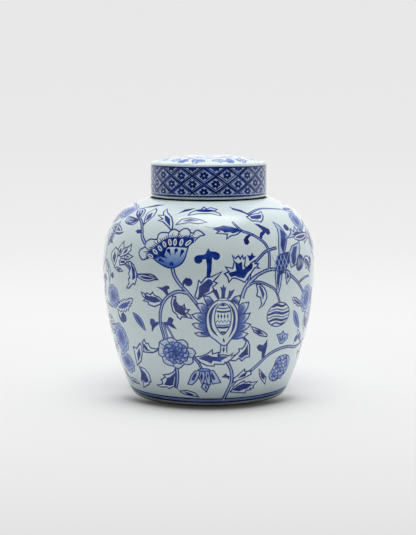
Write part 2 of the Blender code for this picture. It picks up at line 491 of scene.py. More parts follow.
# Solid strokes
FORK = [(-10.5, 6.5), (-4.5, 6.5), (-0.5, 8.5), (2.5, 8), (2.5, 5.5), (0.5, 5), (1.5, 0), (-1, 0),
        (-4, 3.5)]
WEST_HOOK = [(-9, 3), (-7, 4), (-4.5, 3), (-3.5, 1), (0, 1.5), (-0.5, -1), (-5, -4.5), (-8.5, -9.5),
             (-8, -4), (-9.5, -0.5)]
EAST_HOOK = [(0, 1), (3, 1.5), (4.5, 5.5), (7, 6), (9.5, 4), (8, 0.5), (12, -5), (8.5, -4), (4.5, -2),
             (0, -1.5)]
FLAME = [(1, 24), (4.5, 23), (6.5, 26), (7.5, 23), (10, 22.5), (7, 20.5), (3.5, 18), (2.5, 21.5)]
THORN = [(-7.5, -0.5), (-5.5, 1), (-4, 3), (-2.5, 3), (-2.5, 1.5), (0.5, 0.5), (0, -3.5), (-2, -1.5)]
WEST_FORK = [(-0.5, 2), (-5.5, 2), (-6.5, 1), (-8.5, 0.5), (-5.5, -1), (-4.5, -2), (-1, -1.5), (1.5, -1.5)]
FISH_HOOK = [(1.5, -0.5), (-2.5, -1.5), (-5, -4), (-4, -7), (-6.5, -9.5), (-9, -8.5), (-9.5, -4.5),
             (-7, -1.5), (-3, 0.5)]
AXE = [(-1, 0), (0.5, 4), (4, 6), (1, 10), (-2.5, 13.5), (1.5, 13), (7.5, 9.5), (11.5, 7), (11.5, 3),
       (8, 1.5),
       (6.5, 4), (2.5, 1), (1.5, -1.5)]
SPUR = [(-5, 13.5), (-1, 12), (1.5, 14.5), (3, 18), (4, 11), (3.5, 6.5), (2.5, -0.5), (-0.5, -0.5),
        (-1, 5.5),
        (-5, 7.5), (-7.5, 11)]
SWALLOW = [(-9, -8), (-4.5, -4.5), (-0.5, 2), (9, 5), (3.5, -0.5), (-2, -3.5)]
KITE = [(-14.5, -4.5), (-7.5, -1), (-0.5, 3), (9.5, 4), (2.5, 0), (-5, -3)]
STREAK = [(-7.5, 6.5), (-5.5, 3), (1.5, -1.5), (6.5, -8.5), (6.5, -11.5), (1, -6), (-6.5, 0)]
CREST = [(-15, 0.5), (-6, 2.5), (-1, 4.5), (4, 2.5), (9.5, 3.5), (7, 1), (2, -0.5), (-5, -0.5)]


def leaf(sheet, anchor, drawing, **where):
    """A jagged leaf: a dark edge, a bare band inside it, and a solid heart."""
    outline, heart = drawing
    pen = Pen(sheet, anchor, **where)
    pen.outlined(outline, BARE)
    pen.fill(grown(heart, HEART_GROWTH / pen.size), DARK)


def stroke(sheet, anchor, outline, **where):
    """A solid brush mark."""
    Pen(sheet, anchor, **where).fill(outline, DARK)


# ---------------------------------------------------------------- flowers and fruit

def drops(pen, strokes, width=2.6):
    """Solid strokes with a pointed root and a round end, each from a root to a tip."""
    for root, tip in strokes:
        pen.comma([root, between(root, tip, 0.70)], width, root=0.6)


def hatching(pen, inner, outer, count, reach):
    """Short thin strokes from one line towards another."""
    for i in range(count):
        share = (i + 0.5) / count
        long = reach * (1.25 if i % 3 == 1 else 0.8)
        root = at(inner, share)
        pen.line([root, between(root, at(outer, share), long)], 0.95, LINE, (1, 0.4))


def fan_flower(sheet, anchor, **where):
    """A half-open bloom seen from the side: scalloped rim, a row of ringed cells, and a cup of drops."""
    pen = Pen(sheet, anchor, **where)
    rim = curve([(-23.5, 4), (-29, 2), (-32, 4), (-34, 8), (-32.5, 11), (-27.5, 13.5), (-28, 16.5),
                 (-25.5, 19.5),
                 (-22.5, 21), (-16, 21), (-15.5, 25), (-13, 27.5), (-8.5, 28), (-5.5, 27.5), (-4, 30),
                 (-1, 31.5),
                 (2, 30.5), (4, 29), (6, 31), (9.5, 32.5), (13, 31), (14.5, 28.5), (17, 28), (18.5, 30.5),
                 (21, 31), (27, 26.5), (23.5, 25.5), (20.5, 22.5), (18.5, 19.5)])
    ridge = curve([(-23.5, 4), (-23.5, 7.5), (-19, 12), (-14, 16), (-9.5, 20), (-4, 22.5), (1.5, 23),
                   (8, 23),
                   (17, 22.5), (18.5, 19.5)])
    brim = curve([(-17.5, 3.5), (-13, 5.5), (-9.5, 7), (-7, 9.5), (-6, 12.5), (-5, 14.5), (-1, 15.5),
                  (14, 15)])
    cup = curve([(14, 15), (13, 10), (12, 5.5), (9.5, 1), (5, -2), (-1, -3.5), (-6, -2.5), (-11.5, 0),
                 (-17.5, 3.5)])
    pen.outlined(np.vstack([rim, ridge[::-1]]), BARE, 1.3)
    hatching(pen, ridge, rim, 34, 0.50)
    for notch in (((-27.5, 13.5), (-22.5, 10.5)), ((-16, 21), (-13.5, 16.5)), ((-5.5, 27.5), (-5.5, 21.5)),
                  ((4, 29), (3.5, 23)), ((14.5, 28.5), (13.5, 22.5))):
        pen.line(notch, 1.1, LINE, (0.8, 0.8))
    pen.fill(np.vstack([ridge, brim[::-1]]), DARK)
    for outer, inner in (((-24, 7), (-18, 5)), ((-19, 12), (-14, 8)), ((-14, 15.5), (-10, 11)),
                         ((-9.5, 19.5), (-6.5, 14.5)),
                         ((-4, 22), (-2, 16)), ((1.5, 22.5), (2, 16)), ((8, 22.5), (7, 16)), ((16, 21.5),
                                                                                              (11.5, 16.5))):
        along = between(outer, inner, 1) - np.array(outer)
        lean = math.degrees(math.atan2(along[1], along[0]))
        middle = between(outer, inner, 0.5)
        pen.fill(ellipse(middle, np.hypot(*along) * 0.52, 1.7, lean), BARE)
        pen.fill(ellipse(middle, np.hypot(*along) * 0.34, 0.6, lean), LINE)
    pen.outlined(np.vstack([brim, cup[1:]]), DEEP * 0.8, 1.3, fade=((0, -2), (0, 14), 0.05))
    drops(pen, (((-6.5, 1.5), (-13, 4)), ((-4.5, 5), (-10, 7.5)), ((-1, 7.5), (-4.5, 13.5)), ((2.5, 8),
                                                                                              (4, 14)),
                ((7.5, 6.5), (10, 13.5))), 3.2)
    pen.fill(ellipse((0, 0), 2.1, 1.9), DARK)


def pomegranate(sheet, anchor, **where):
    """An opened fruit: a banded window in a shell, side petals and a spiked crown."""
    pen = Pen(sheet, anchor, **where)
    for petal in (
        [(13.5, 13), (7, 17.5), (10, 20.5), (14.5, 21.5), (15, 18.5)],
        [(14, 2.5), (13.5, 12), (17, 14.5), (23, 15), (22, 10), (19, 5)],
        [(14, -5), (14, 3.5), (18, 4.5), (24.5, 5), (22.5, 0.5), (19, -3.5)],
        [(12, -11.5), (14, -4.5), (20, -3.5), (25.5, -5.5), (21.5, -9.5), (17.5, -11.5)],
        [(8, -18), (12.5, -11.5), (18.5, -12), (23, -14), (18.5, -17.5), (12.5, -18.5)],
        [(-13.5, 12), (-9, 17), (-12.5, 21), (-17.5, 21.5), (-16, 17)],
        [(-15, 3.5), (-13.5, 12), (-18.5, 15), (-23.5, 14.5), (-21.5, 10.5), (-19.5, 6.5)],
        [(-15, -3), (-15, 4), (-20, 6.5), (-24, 6), (-27.5, 4.5), (-24, 1), (-19.5, -2)],
        [(-14, -10.5), (-15, -3), (-20.5, -3), (-24.5, -3), (-27, -4), (-24, -7.5), (-18.5, -9.5)],
        [(-10.5, -15), (-14, -11), (-21, -11.5), (-24.5, -12.5), (-21.5, -15), (-16.5, -15.5)],
    ):
        tip = max(petal, key=lambda p: abs(p[0]))
        pen.outlined(petal, DEEP, 1.15, fade=(between(petal[0], petal[1], 0.5), tip, -0.25))
        for share in (0.2, 0.5, 0.8):
            root = between(petal[0], petal[1], share)
            pen.line([root, between(root, tip, 0.6)], 0.9, LINE, (1, 0.4))
    shell = [(-0.5, 19), (5.5, 17), (10, 13), (13, 6), (13.5, -1), (12.5, -9), (10, -14.5), (7, -19),
             (3, -24),
             (-1, -23.5), (-6, -19), (-11, -15), (-14, -8), (-15, 0.5), (-14, 7), (-11, 13), (-6.5, 17)]
    pen.outlined(curve(shell, closed=True), BARE, 1.3)
    for crescent in (
        [(-4.5, 15.5), (-9.5, 11.5), (-12.5, 5.5), (-12.5, -1), (-11, -8), (-7.5, -13), (-4, -15.5),
         (-6.5, -11.5),
         (-9.5, -6.5), (-10, 1), (-9, 8), (-6.5, 12.5)],
        [(5, 14.5), (9.5, 9), (11, 3), (11, -4), (9.5, -10), (5, -17.5), (7.5, -10), (8.5, -4.5), (9, 2),
         (7.5, 8.5)],
    ):
        pen.fill(curve(crescent, closed=True), DARK)
    window = curve([(-0.5, 15), (-4.5, 13), (-6.5, 9.5), (-7.5, 3.5), (-7, -3.5), (-4, -10), (0, -14),
                    (4, -10),
                    (6.5, -4.5), (7, 3), (6, 10), (3.5, 13.5)], closed=True)
    pen.outlined(window, BARE, 1.0)
    pen.fill([(-3.5, 12.8), (-0.5, 14.6), (2.8, 13.2), (0, 12.2)], DARK)
    for height, half, thick, tone in ((10.9, 5.2, 1.2, DARK), (7.8, 6.0, 1.8, DARK), (-4.6, 6.2, 1.4, WASH),
                                      (-6.6, 5.2, 1.9, DARK), (-11.2, 2.2, 2.2, DARK)):
        pen.line([(-half, height), (0, height - 0.7), (half, height)], thick, tone, (0.8, 0.8))
    for x in (-4.4, -1.6, 1.2, 4):
        pen.blade([(x, 5.6), (x, 0.8)], 1.5)
    pen.line([(-6.5 + 1.6 * i, -2.6 + 2.3 * (i % 2)) for i in range(9)], 0.9, LINE, (1, 1), smooth=False)
    pen.outlined(ellipse((-0.5, 18.5), 4.5, 1.3), BARE, 0.8)
    for spike in (
        [(-2, 19), (-2, 25.5), (-3, 30), (-1, 29), (-0.5, 32), (1, 29), (2.5, 29.5), (1.5, 25.5), (1, 19)],
        [(-5.5, 19), (-9, 24.5), (-11.5, 28), (-9.5, 27.5), (-9, 29), (-7, 27), (-6, 27.5), (-4, 22),
         (-3.5, 19)],
        [(3, 19), (4, 22), (5, 27), (6, 25.5), (10, 27.5), (8, 23), (5.5, 19)],
    ):
        pen.fill(spike, DARK)
    pen.blade([(0.5, -17), (1.5, -21.5)], 1.8)
    for side in (-1, 1):
        pen.line([(1.5 + 3.2 * side, -22), (1.2 + 2.6 * side, -27), (1.2 + 3.2 * side, -32)], 1.2)
    pen.blade([(1.4, -25), (1.0, -31)], 2.0)


def peony(sheet, anchor, **where):
    """A full bloom: pale ruffled petals with hatched roots round two rings of smaller, darker ones."""
    pen = Pen(sheet, anchor, **where)
    ruffle = [(-15.5, 9), (-12.5, 11), (-8, 13), (-2.5, 14.5), (1.5, 12), (7.5, 13), (11.5, 9.5),
              (11.5, 5.5), (15.5, 5),
              (18, 0.5), (15, -4), (15, -8.5), (11, -11), (7, -10.5), (3.5, -14), (0, -15.5), (-3.5, -13.5),
              (-9, -12.5), (-13, -10), (-14, -5), (-17, -3.5), (-17, 2), (-16, 5.5)]
    pen.outlined(curve(ruffle, closed=True), 0.08, 1.2)
    for notch in ((-8, 13), (1.5, 12), (11.5, 5.5), (15, -4), (7, -10.5), (-3.5, -13.5), (-14, -5),
                  (-15.5, 9)):
        pen.line([notch, between(notch, (-1, -0.5), 0.42)], 1.1, LINE, (0.9, 0.5))
    for i in range(34):
        angle = 2 * math.pi * i / 34
        reach = 0.78 if i % 3 else 0.93
        far = (-0.5 + 16.5 * reach * math.cos(angle), 13.5 * reach * math.sin(angle))
        pen.line([between((-0.5, 0), far, 0.55), far], 0.9, DEEP, (1, 0.3))
    for count, reach, size, tone in ((10, 8.4, 4.0, PALE), (7, 4.6, 3.2, WASH), (3, 1.4, 2.4, DEEP)):
        for i in range(count):
            angle = 2 * math.pi * (i + 0.3 * count) / count
            x, y = reach * math.cos(angle), 0.86 * reach * math.sin(angle)
            pen.outlined(ellipse((x, y), size * 0.9, size, math.degrees(angle)), tone, 1.1, DARK)
            for lean in (-0.3, 0, 0.3):
                far = (x + 0.8 * size * math.cos(angle + lean), y + 0.8 * size * math.sin(angle + lean))
                pen.line([between((0, 0), (x, y), 0.85), far], 0.9, DEEP, (1, 0.3))


def hanging_bud(sheet, anchor, **where):
    """A drooping flower of five pointed petals, each with its own inner stroke. It hangs along -y."""
    pen = Pen(sheet, anchor, **where)
    for petal, mark in (
        ([(2, -13), (-1, -17.5), (3.5, -23), (6, -17)], [(3, -15), (2, -18), (3.5, -20.5), (4, -17.5)]),
        ([(-1, -0.5), (-6, -1), (-9.5, -5.5), (-13, -15), (-9, -15.5), (-5, -11), (-3, -7)],
         [(-4.5, -2), (-8, -5.5), (-10, -11), (-7, -11), (-5, -6)]),
        ([(7, -0.5), (7.5, -6.5), (9, -14.5), (16.5, -13), (13.5, -6), (10.5, -0.5)],
         [(8.5, -1.5), (8, -6), (9.5, -10), (12, -10), (10.5, -5)]),
        ([(-1.5, -1), (-3, -7), (0, -15.5), (2, -10), (3, -5), (1.5, -0.5)], [(0, -1.5), (-2, -7),
                                                                              (0, -12), (1, -6)]),
        ([(3, -0.5), (3, -6.5), (4.5, -14.5), (7, -15.5), (7.5, -8.5), (6, -0.5)],
         [(4.5, -1.5), (4, -6.5), (5.5, -10), (6, -5)]),
    ):
        pen.outlined(petal, STEM, 1.2)
        pen.fill(mark, LINE)
    pen.outlined(ellipse((2, 0), 5.5, 1.6), WASH, 0.9)


def round_bloom(sheet, anchor, rx=14, ry=13, rows=3, **where):
    """A ball of overlapping petals, paler towards its ruffled edge."""
    pen = Pen(sheet, anchor, **where)
    for row in range(rows):
        reach = 1 - row / rows
        tone = (STEM, PALE, DEEP)[min(row, 2)]
        count = max(5, int(9 * reach))
        for i in range(count):
            angle = 2 * math.pi * (i + 0.5 * (row % 2)) / count
            x, y = math.cos(angle), math.sin(angle)
            centre = (rx * 0.72 * reach * x, ry * 0.72 * reach * y)
            size = 2.1 * min(rx, ry) * reach / count + 1.6
            pen.outlined(ellipse(centre, size, size * 1.15, math.degrees(angle)), tone, 0.9, DEEP)
            for lean in (-0.25, -0.08, 0.08, 0.25):
                far = (rx * 0.98 * reach * math.cos(angle + lean), ry * 0.98 * reach * math.sin(angle + lean))
                pen.line([between((0, 0), far, 0.60), far], 0.9, DEEP, (1, 0.3))
    pen.fill(ellipse((0, 0), rx * 0.22, ry * 0.22), DARK)


def scaled_bud(sheet, anchor, **where):
    """A bud like a pine cone, with arched rows of scales."""
    pen = Pen(sheet, anchor, **where)
    body = [(5.5, 12.5), (13.5, 9), (16.5, 3), (14.5, -7), (6, -12), (-0.5, -13.5), (-7, -10.5),
            (-10, -6), (-8.5, -0.5),
            (-7, 3.5), (-5, 11)]
    pen.outlined(curve(body, closed=True), PALE, 1.0)
    for row in range(6):
        height = 9.5 - 4.0 * row
        half = 11.5 * math.sqrt(max(0.05, 1 - ((height + 0.5) / 13) ** 2))
        count = max(3, int(half / 2.2))
        for i in range(count):
            x = 3.2 - half + 2 * half * (i + 0.5) / count
            shade = (PALE, DEEP, BARE)[(i * 2 + row) % 3]
            pen.outlined(curve([(x - 2.1, height - 1.7), (x, height + 2.1),
                                (x + 2.1, height - 1.7)]), shade, 0.9)


def striped_fruit(sheet, anchor, **where):
    """A round fruit crossed by dark bands."""
    pen = Pen(sheet, anchor, **where)
    pen.outlined(ellipse((0, 0), 13.5, 11), BARE, 1.1)
    for height, thick in ((8.2, 2.2), (4.6, 1.2), (1.4, 2.6), (-1.9, 1.1), (-4.9, 2.4), (-8.3, 1.6)):
        half = 12.8 * math.sqrt(max(0.02, 1 - (height / 11) ** 2))
        pen.line([(-half, height - 0.8), (-half * 0.35, height + 0.9), (half * 0.4, height - 0.9),
                  (half, height + 0.5)],
                 thick, DARK, (0.7, 0.7))


def leaf_star(sheet, anchor, **where):
    """A spreading cluster of narrow lobes, each outlined round a dark slit."""
    pen = Pen(sheet, anchor, **where)
    for lobe, slit in (
        ([(-8, -9.5), (-3, -8.5), (3, -9.5), (6.5, -11.5), (-0.5, -12.5)], [(-4, -10), (0.5, -10.2),
                                                                            (2.5, -11), (-1, -11.3)]),
        ([(0.5, -3), (3, 0), (10.5, -0.5), (12.5, -2.5), (8, -5), (1.5, -6.5)], [(2.5, -2.5), (9, -2),
                                                                                 (8.5, -3.5), (3, -4)]),
        ([(8.5, 2.5), (12.5, 5), (19.5, 3), (14, 0), (8.5, 0)], [(10.5, 1.5), (12.5, 3), (14.5, 2)]),
        ([(0, 2), (4, 8.5), (12.5, 11.5), (15, 14), (15.5, 8), (10.5, 4), (2, 1)], [(5.5, 4), (8, 7.5),
                                                                                    (11, 9.5), (10, 6.5)]),
        ([(-2.5, 1.5), (-3.5, 8), (3, 15.5), (5.5, 9.5), (1.5, 3.5)], [(-0.5, 4), (-1, 6.5), (1.5, 9),
                                                                       (1.5, 5.5)]),
        ([(-8, -8.5), (-15.5, -2), (-15.5, 3), (-8.5, 9), (-3, 6.5), (-3.5, -1)], [(-8.5, -5), (-12, -1),
                                                                                   (-9, 5), (-6, 1)]),
    ):
        pen.outlined(lobe, BARE, 1.2)
        pen.fill(grown(slit, 0.35), DARK)


def trefoil(sheet, anchor, **where):
    """A solid three-lobed flourish on a stalk."""
    pen = Pen(sheet, anchor, **where)
    pen.fill(([(-0.5, 12), (-2.5, 7.5), (-5.5, 5), (-2.5, 3), (-1.5, -3.5), (-2, -13.5), (1, -14),
               (2.5, -7.5),
                    (3, 3.5), (5, 6.5), (2, 8.5)]), DARK)
    for x, y, size in ((-9, 2, 3.8), (6.5, 5, 3.5)):
        pen.fill(ellipse((x, y), size, size), DARK)
        pen.line([(x, y + size * 0.5), (0, y + 2.5)], 4.0, DARK, (1, 1))


def long_leaf(sheet, anchor, length, width, bend=0.0, teeth=6, blade=DARK, **where):
    """A leaf along +y whose middle bends sideways."""
    spine = [(0, 0), (bend * 0.8, length * 0.35), (bend, length * 0.65), (0, length)]
    Pen(sheet, anchor, **where).leaf(spine, width, teeth, blade)


def curl(sheet, anchor, reach=9.0, rise=7.0, width=5.6, **where):
    """A solid comma that leaves the anchor, bends over and ends in a round drop."""
    pen = Pen(sheet, anchor, **where)
    pen.comma([(0, 0), (reach * 0.15, rise * 0.7), (reach * 0.55, rise), (reach, rise * 0.72)], width)


def bud(sheet, anchor, outline, root, tip, **where):
    """A closed bud, with strokes that spread from its root."""
    pen = Pen(sheet, anchor, **where)
    pen.outlined(curve(outline, closed=True), STEM, 1.1)
    for lean in (-3, 0, 3):
        across = np.array([root[1] - tip[1], tip[0] - root[0]])
        across = across / np.hypot(*across)
        middle = between(root, tip, 0.55) + across * lean
        pen.blade([root, middle, between(root, tip, 0.9) + across * lean * 0.45], 1.7, DARK)


def plumed_flower(sheet, anchor, **where):
    """A flower with one tall dark petal, two rolled petals, a scaled cup and trailing ends."""
    pen = Pen(sheet, anchor, **where)
    for petal, mark in (
        ([(-2.5, 0.5), (-1.5, 8.5), (1.5, 17.5), (3, 24.5), (1.5, 31.5), (7, 27), (10, 21.5),
          (12.5, 16.5), (9, 10), (4.5, 1.5)],
         [(6.5, 23), (10.5, 19), (9.5, 14), (6, 8), (3, 2), (1.5, 8.5), (4, 15)]),
        ([(12.5, 14.5), (19, 19), (21, 23), (24.5, 19.5), (29, 24.5), (32, 20), (37, 24), (38.5, 18.5),
          (44, 18), (41, 14),
          (34, 13), (27.5, 15)],
         [(21, 17), (29, 19), (36, 18), (32, 15.5)]),
        ([(12, -12), (10, -5), (12, 3), (16, 7), (26.5, 9), (29.5, 12), (28.5, 4.5), (25.5, -2),
          (22.5, -8), (18.5, -10.5)],
         [(14, -7.5), (13.5, -1), (18.5, 5.5), (23, 5.5), (19.5, -1.5), (19.5, -6), (16.5, -10)]),
        ([(-7, -12), (-8, -17), (-7, -24.5), (-5, -35.5), (-3, -33), (-1.5, -28), (0.5, -16)],
         [(-5, -16), (-5.5, -24), (-4, -30), (-2.5, -18)]),
        ([(5.5, -13), (4.5, -19.5), (6.5, -26.5), (11, -21.5), (10, -15.5)], [(7, -16), (6.5, -21),
                                                                              (9, -20)]),
    ):
        pen.outlined(petal, STEM, 1.2)
        pen.fill(grown(mark, HEART_GROWTH / pen.size), DARK)
    bulb = [(24.5, -2), (31.5, -4), (32.5, -9), (29, -14.5), (23.5, -16), (20, -12)]
    pen.outlined(curve(bulb, closed=True), DARK, 0.9)
    for i in range(4):
        pen.line([(22.5 + 2.6 * i, -13 + 0.6 * i), (24.5 + 2.2 * i, -4.5 - 0.4 * i)], 0.8, BARE)
    cup = [(-3, 0), (3.5, 1.5), (10, 2), (10, -6.5), (5.5, -12), (-2, -17.5), (-6.5, -12), (-7, -5)]
    pen.outlined(cup, DARK, 1.0)
    for lean in (-1, 1):
        for shift in (-9, -4.5, 0, 4.5):
            middle = (1.5 + shift, -6.5)
            low = between(middle, (middle[0] + lean * 4, -14.5), 0.9)
            high = between(middle, (middle[0] - lean * 4, 1.5), 0.9)
            pen.line([low, high], 0.75, PALE, (0.6, 0.6))


def small_bloom(sheet, anchor, **where):
    """A little outlined flower in profile."""
    pen = Pen(sheet, anchor, **where)
    edge = [(-6.5, 4), (-2, 4), (1, 6.5), (3, 3.5), (9, 2), (8.5, -2), (3, -5.5), (-0.5, -5.5), (-4, -0.5)]
    pen.outlined(edge, PALE, 1.0)
    for root, tip in (((0, -3.5), (-3.5, 2.5)), ((1, -3.5), (1, 3.5)), ((2, -3.5), (6, 0.5))):
        pen.blade([root, tip], 1.7)


def washed_blade(sheet, anchor, length, width, bend=0.0, **where):
    """A narrow leaf of plain wash with a darker vein."""
    pen = Pen(sheet, anchor, **where)
    spine = [(0, 0), (bend, length * 0.5), (0, length)]
    path = curve(spine)
    t = share_along(path)
    pen.outlined(sides(path, width / 2 * np.sin(math.pi * t**0.9) + 0.1), WASH, 0.8, DARK)
    pen.blade([(bend * 0.4, length * 0.2), (bend, length * 0.5),
               (bend * 0.3, length * 0.8)], width * 0.34, LINE)


def paint_half(sheet, start):
    """Half of the garden round the belly. start turns it round the jar, in degrees. Heights run up the wall."""

    def on(degrees, height):
        return (degrees + start, height)

    def stem(points, **style):
        sheet.trail([on(*p) for p in points], **style)

    stem([(9.5, 6), (12, 16), (14, 26), (14, 34), (12.5, 41.5), (9.5, 50)], ends=0.9)
    stem([(14, 22), (18, 29.5), (23, 34), (26, 37), (30.5, 43), (35.5, 50), (42.5, 54.5), (51.5, 55.5),
          (62, 53), (74, 57)])
    stem([(-18.5, 134), (-17.5, 127), (-15, 120), (-11, 112.5), (-7, 104), (-4, 97), (0.5, 91)], width=3.9)
    stem([(-11, 111.5), (-15.5, 112.5), (-20, 109), (-23, 104), (-25, 97), (-26, 89), (-26, 80.5),
          (-25, 72.5), (-24.5, 66)])
    stem([(-24.5, 84), (-23.5, 76.5), (-22.5, 68)], width=2.4)
    stem([(-23.5, 83), (-21, 76), (-19, 69)], width=2.4)
    stem([(-19, 41), (-19, 33.5), (-20, 25.5), (-21.5, 19)])
    stem([(-29, 58), (-34, 54), (-40, 55)], width=2.8)
    stem([(-35.5, 153), (-38.5, 158.5), (-41, 167), (-44, 173.5), (-49, 178.5)], width=3.8)
    stem([(-41.5, 168), (-40.5, 175), (-39.5, 181)], width=2.8)
    stem([(-37, 123), (-42, 125), (-46, 131), (-51, 135)], width=3.0)
    stem([(-73, 93), (-66, 91), (-60, 93), (-54, 97)], width=3.0)
    stem([(-8.5, 52), (-6, 47), (-3.5, 39)], width=3.0, ends=0.9)
    stem([(17, 106.5), (18, 112.5), (20, 118.5), (24.5, 125)], width=4.2, ends=0.9)
    stem([(19.5, 116.5), (22.5, 123), (27, 127.5), (31.5, 130), (36.5, 130), (42.5, 127), (48, 122),
          (53, 116),
          (58, 108.5), (63, 99)])
    stem([(19, 115.5), (22, 119), (26, 120), (31.5, 116.5), (36.5, 111), (40, 99)], width=3.0)
    stem([(20.5, 119), (21, 127), (22.5, 134), (27.5, 142.5), (31.5, 147), (38, 149)], width=3.2, ends=0.9)
    stem([(32, 129.5), (32.5, 138), (32.5, 147.5), (30.5, 154.5), (27, 159.5), (23, 163.5), (19, 166),
          (16.5, 170), (14, 176)],
         width=3.2)
    stem([(54.5, 115), (60.5, 118.5), (67, 119)], width=2.8)
    stem([(27, 185), (33, 189), (40, 192), (50, 191), (62, 187), (72, 180)], width=3.0)
    stem([(50, 158), (60, 160), (70, 164), (80, 172)], width=3.0)
    stem([(-100, 192), (-84, 195), (-70, 193), (-60, 187)], width=3.4)

    fan_flower(sheet, on(-19, 136.5))
    pomegranate(sheet, on(7.5, 87.5))
    peony(sheet, on(-18.5, 55.5))
    hanging_bud(sheet, on(-4, 39.5))
    striped_fruit(sheet, on(40, 88.5))
    scaled_bud(sheet, on(47.5, 35))
    leaf_star(sheet, on(-54, 137.5))
    plumed_flower(sheet, on(40.5, 142))
    trefoil(sheet, on(0, 139))
    small_bloom(sheet, on(44.5, 65.5))

    for place, size in (((-62, 101), (11, 10)), ((-60, 62), (12, 14)), ((-60, 38), (12, 10)),
                        ((65.5, 98), (12, 12)),
                        ((66, 172), (9, 8)), ((112, 184), (11, 9))):
        round_bloom(sheet, on(*place), *size)

    stem([(74, 57), (84, 60), (91, 70), (95, 84), (96, 98), (92, 110), (87, 122), (88, 134)], ends=0.9)
    stem([(95, 86), (101, 92), (106, 90), (108, 82)], width=2.8)
    stem([(90, 114), (99, 120), (107, 132), (109, 146), (104, 158), (100, 168)], width=2.8)
    stem([(84, 60), (89, 50), (90, 40)], width=2.8)
    stem([(70, 56), (74, 44), (75, 32)], width=2.8)
    stem([(88, 46), (98, 42), (106, 34), (112, 22)], width=2.8)
    stem([(87, 122), (80, 128), (75, 138)], width=2.8)
    peony(sheet, on(79, 80), size=0.9, turn=20)
    fan_flower(sheet, on(88, 137), size=0.82, turn=-8)
    striped_fruit(sheet, on(108, 72), size=0.85)
    hanging_bud(sheet, on(90, 40), size=0.85, turn=-6)
    scaled_bud(sheet, on(100, 178), size=0.75, turn=-10)
    trefoil(sheet, on(106, 112), size=0.8)
    leaf(sheet, on(95, 98), WEST_LEAF, turn=10, flip=True)
    leaf(sheet, on(93, 108), SOUTH_LEAF, turn=-40, size=0.9)
    leaf(sheet, on(75, 138), THISTLE, turn=30)
    leaf(sheet, on(109, 146), LONG_LEAF, turn=70, size=0.7)
    leaf(sheet, on(108, 134), PENDANT, turn=20)
    leaf(sheet, on(75, 32), FOOT_LEAF, turn=-80, size=0.9)
    leaf(sheet, on(112, 22), FOOT_BLADE, turn=10)
    leaf(sheet, on(99, 42), THISTLE, turn=-20, size=0.9)
    leaf(sheet, on(68, 55), NOTCHED_LEAF, turn=190)
    leaf(sheet, on(62, 152), SPRAY_LEAF, turn=20)
    leaf(sheet, on(74, 112), RIDGE_LEAF, turn=100, size=0.7)
    leaf(sheet, on(82, 184), RIDGE_LEAF, turn=4, size=0.8)
    stroke(sheet, on(96, 90), FORK, turn=-30)
    stroke(sheet, on(87, 52), WEST_HOOK, turn=10)
    stroke(sheet, on(109, 150), EAST_HOOK, turn=20)
    stroke(sheet, on(101, 132), FISH_HOOK, turn=10)
    stroke(sheet, on(73, 46), AXE, turn=150, size=0.7)
    curl(sheet, on(92, 70), 6, 5, 6)
    curl(sheet, on(70, 128), 5, 7, 6, flip=True)

    leaf(sheet, on(-5.5, 106), THISTLE)
    leaf(sheet, on(19, 120.5), IVY)
    leaf(sheet, on(25, 119.5), PENDANT)
    leaf(sheet, on(-24.5, 103.5), WEST_LEAF)
    leaf(sheet, on(-18, 108), SOUTH_LEAF)
    leaf(sheet, on(-8, 52.5), LONG_LEAF)
    leaf(sheet, on(12.5, 49), TWIST_LEAF)
    leaf(sheet, on(14.5, 16), FOOT_LEAF)
    leaf(sheet, on(15, 27), SHEATH)
    leaf(sheet, on(-19.5, 39), PEONY_LEAF)
    leaf(sheet, on(-21.5, 20), FOOT_BLADE)
    leaf(sheet, on(-41.5, 56.5), SPRAY_LEAF)
    leaf(sheet, on(-48, 38), FORKED_LEAF)
    leaf(sheet, on(-46.5, 37), DROOPING_LEAF)
    leaf(sheet, on(-45.5, 135.5), STAR_TAIL)
    leaf(sheet, on(-45.5, 135.5), STAR_BLADE)
    leaf(sheet, on(-21.5, 167), HOOKED_LEAF)
    leaf(sheet, on(23, 163.5), RIDGE_LEAF)
    leaf(sheet, on(-40.5, 170.5), BUD_LEAF)
    leaf(sheet, on(-2.5, 193.5), CROWN_LEAF, size=0.85)
    leaf(sheet, on(-10, 176), SLIM_LEAF)
    leaf(sheet, on(23, 80), SHADE_LEAF)
    leaf(sheet, on(31, 180), SHOULDER_LEAF)
    leaf(sheet, on(31.5, 37.5), NOTCHED_LEAF)
    leaf(sheet, on(66, 84), SOUTH_LEAF, turn=10)
    leaf(sheet, on(-72, 30), NOTCHED_LEAF)
    leaf(sheet, on(60, 136), WEST_LEAF, turn=150, size=0.9)

    stroke(sheet, on(-21.5, 109), FORK)
    stroke(sheet, on(-27, 82.5), WEST_HOOK)
    stroke(sheet, on(-24, 83), EAST_HOOK)
    stroke(sheet, on(19, 120.5), FLAME)
    stroke(sheet, on(12.5, 32.5), THORN)
    stroke(sheet, on(-40.5, 163.5), WEST_FORK)
    stroke(sheet, on(24.5, 162.5), FISH_HOOK)
    stroke(sheet, on(29, 159.5), AXE)
    stroke(sheet, on(32, 49), SPUR)
    stroke(sheet, on(-17, 191), SWALLOW)
    stroke(sheet, on(-45, 196), KITE)
    stroke(sheet, on(-61, 158.5), CREST)
    stroke(sheet, on(22.5, 193), STREAK)

    bud(sheet, on(-47, 174.5), [(-0.5, 0), (-4.5, -5), (-14.5, -4.5), (-19.5, -2.5), (-19.5, 0.5),
                                (-18.5, 2.5), (-11, 2.5)],
        (-1, -0.5), (-18, -1))
    bud(sheet, on(-48.5, 177.5), [(0, -1), (-8, 5), (-13, 10.5), (-10.5, 13), (-5, 12.5), (1, 8.5),
                                  (3.5, 2), (2.5, -0.5)],
        (1, 0), (-9.5, 11))

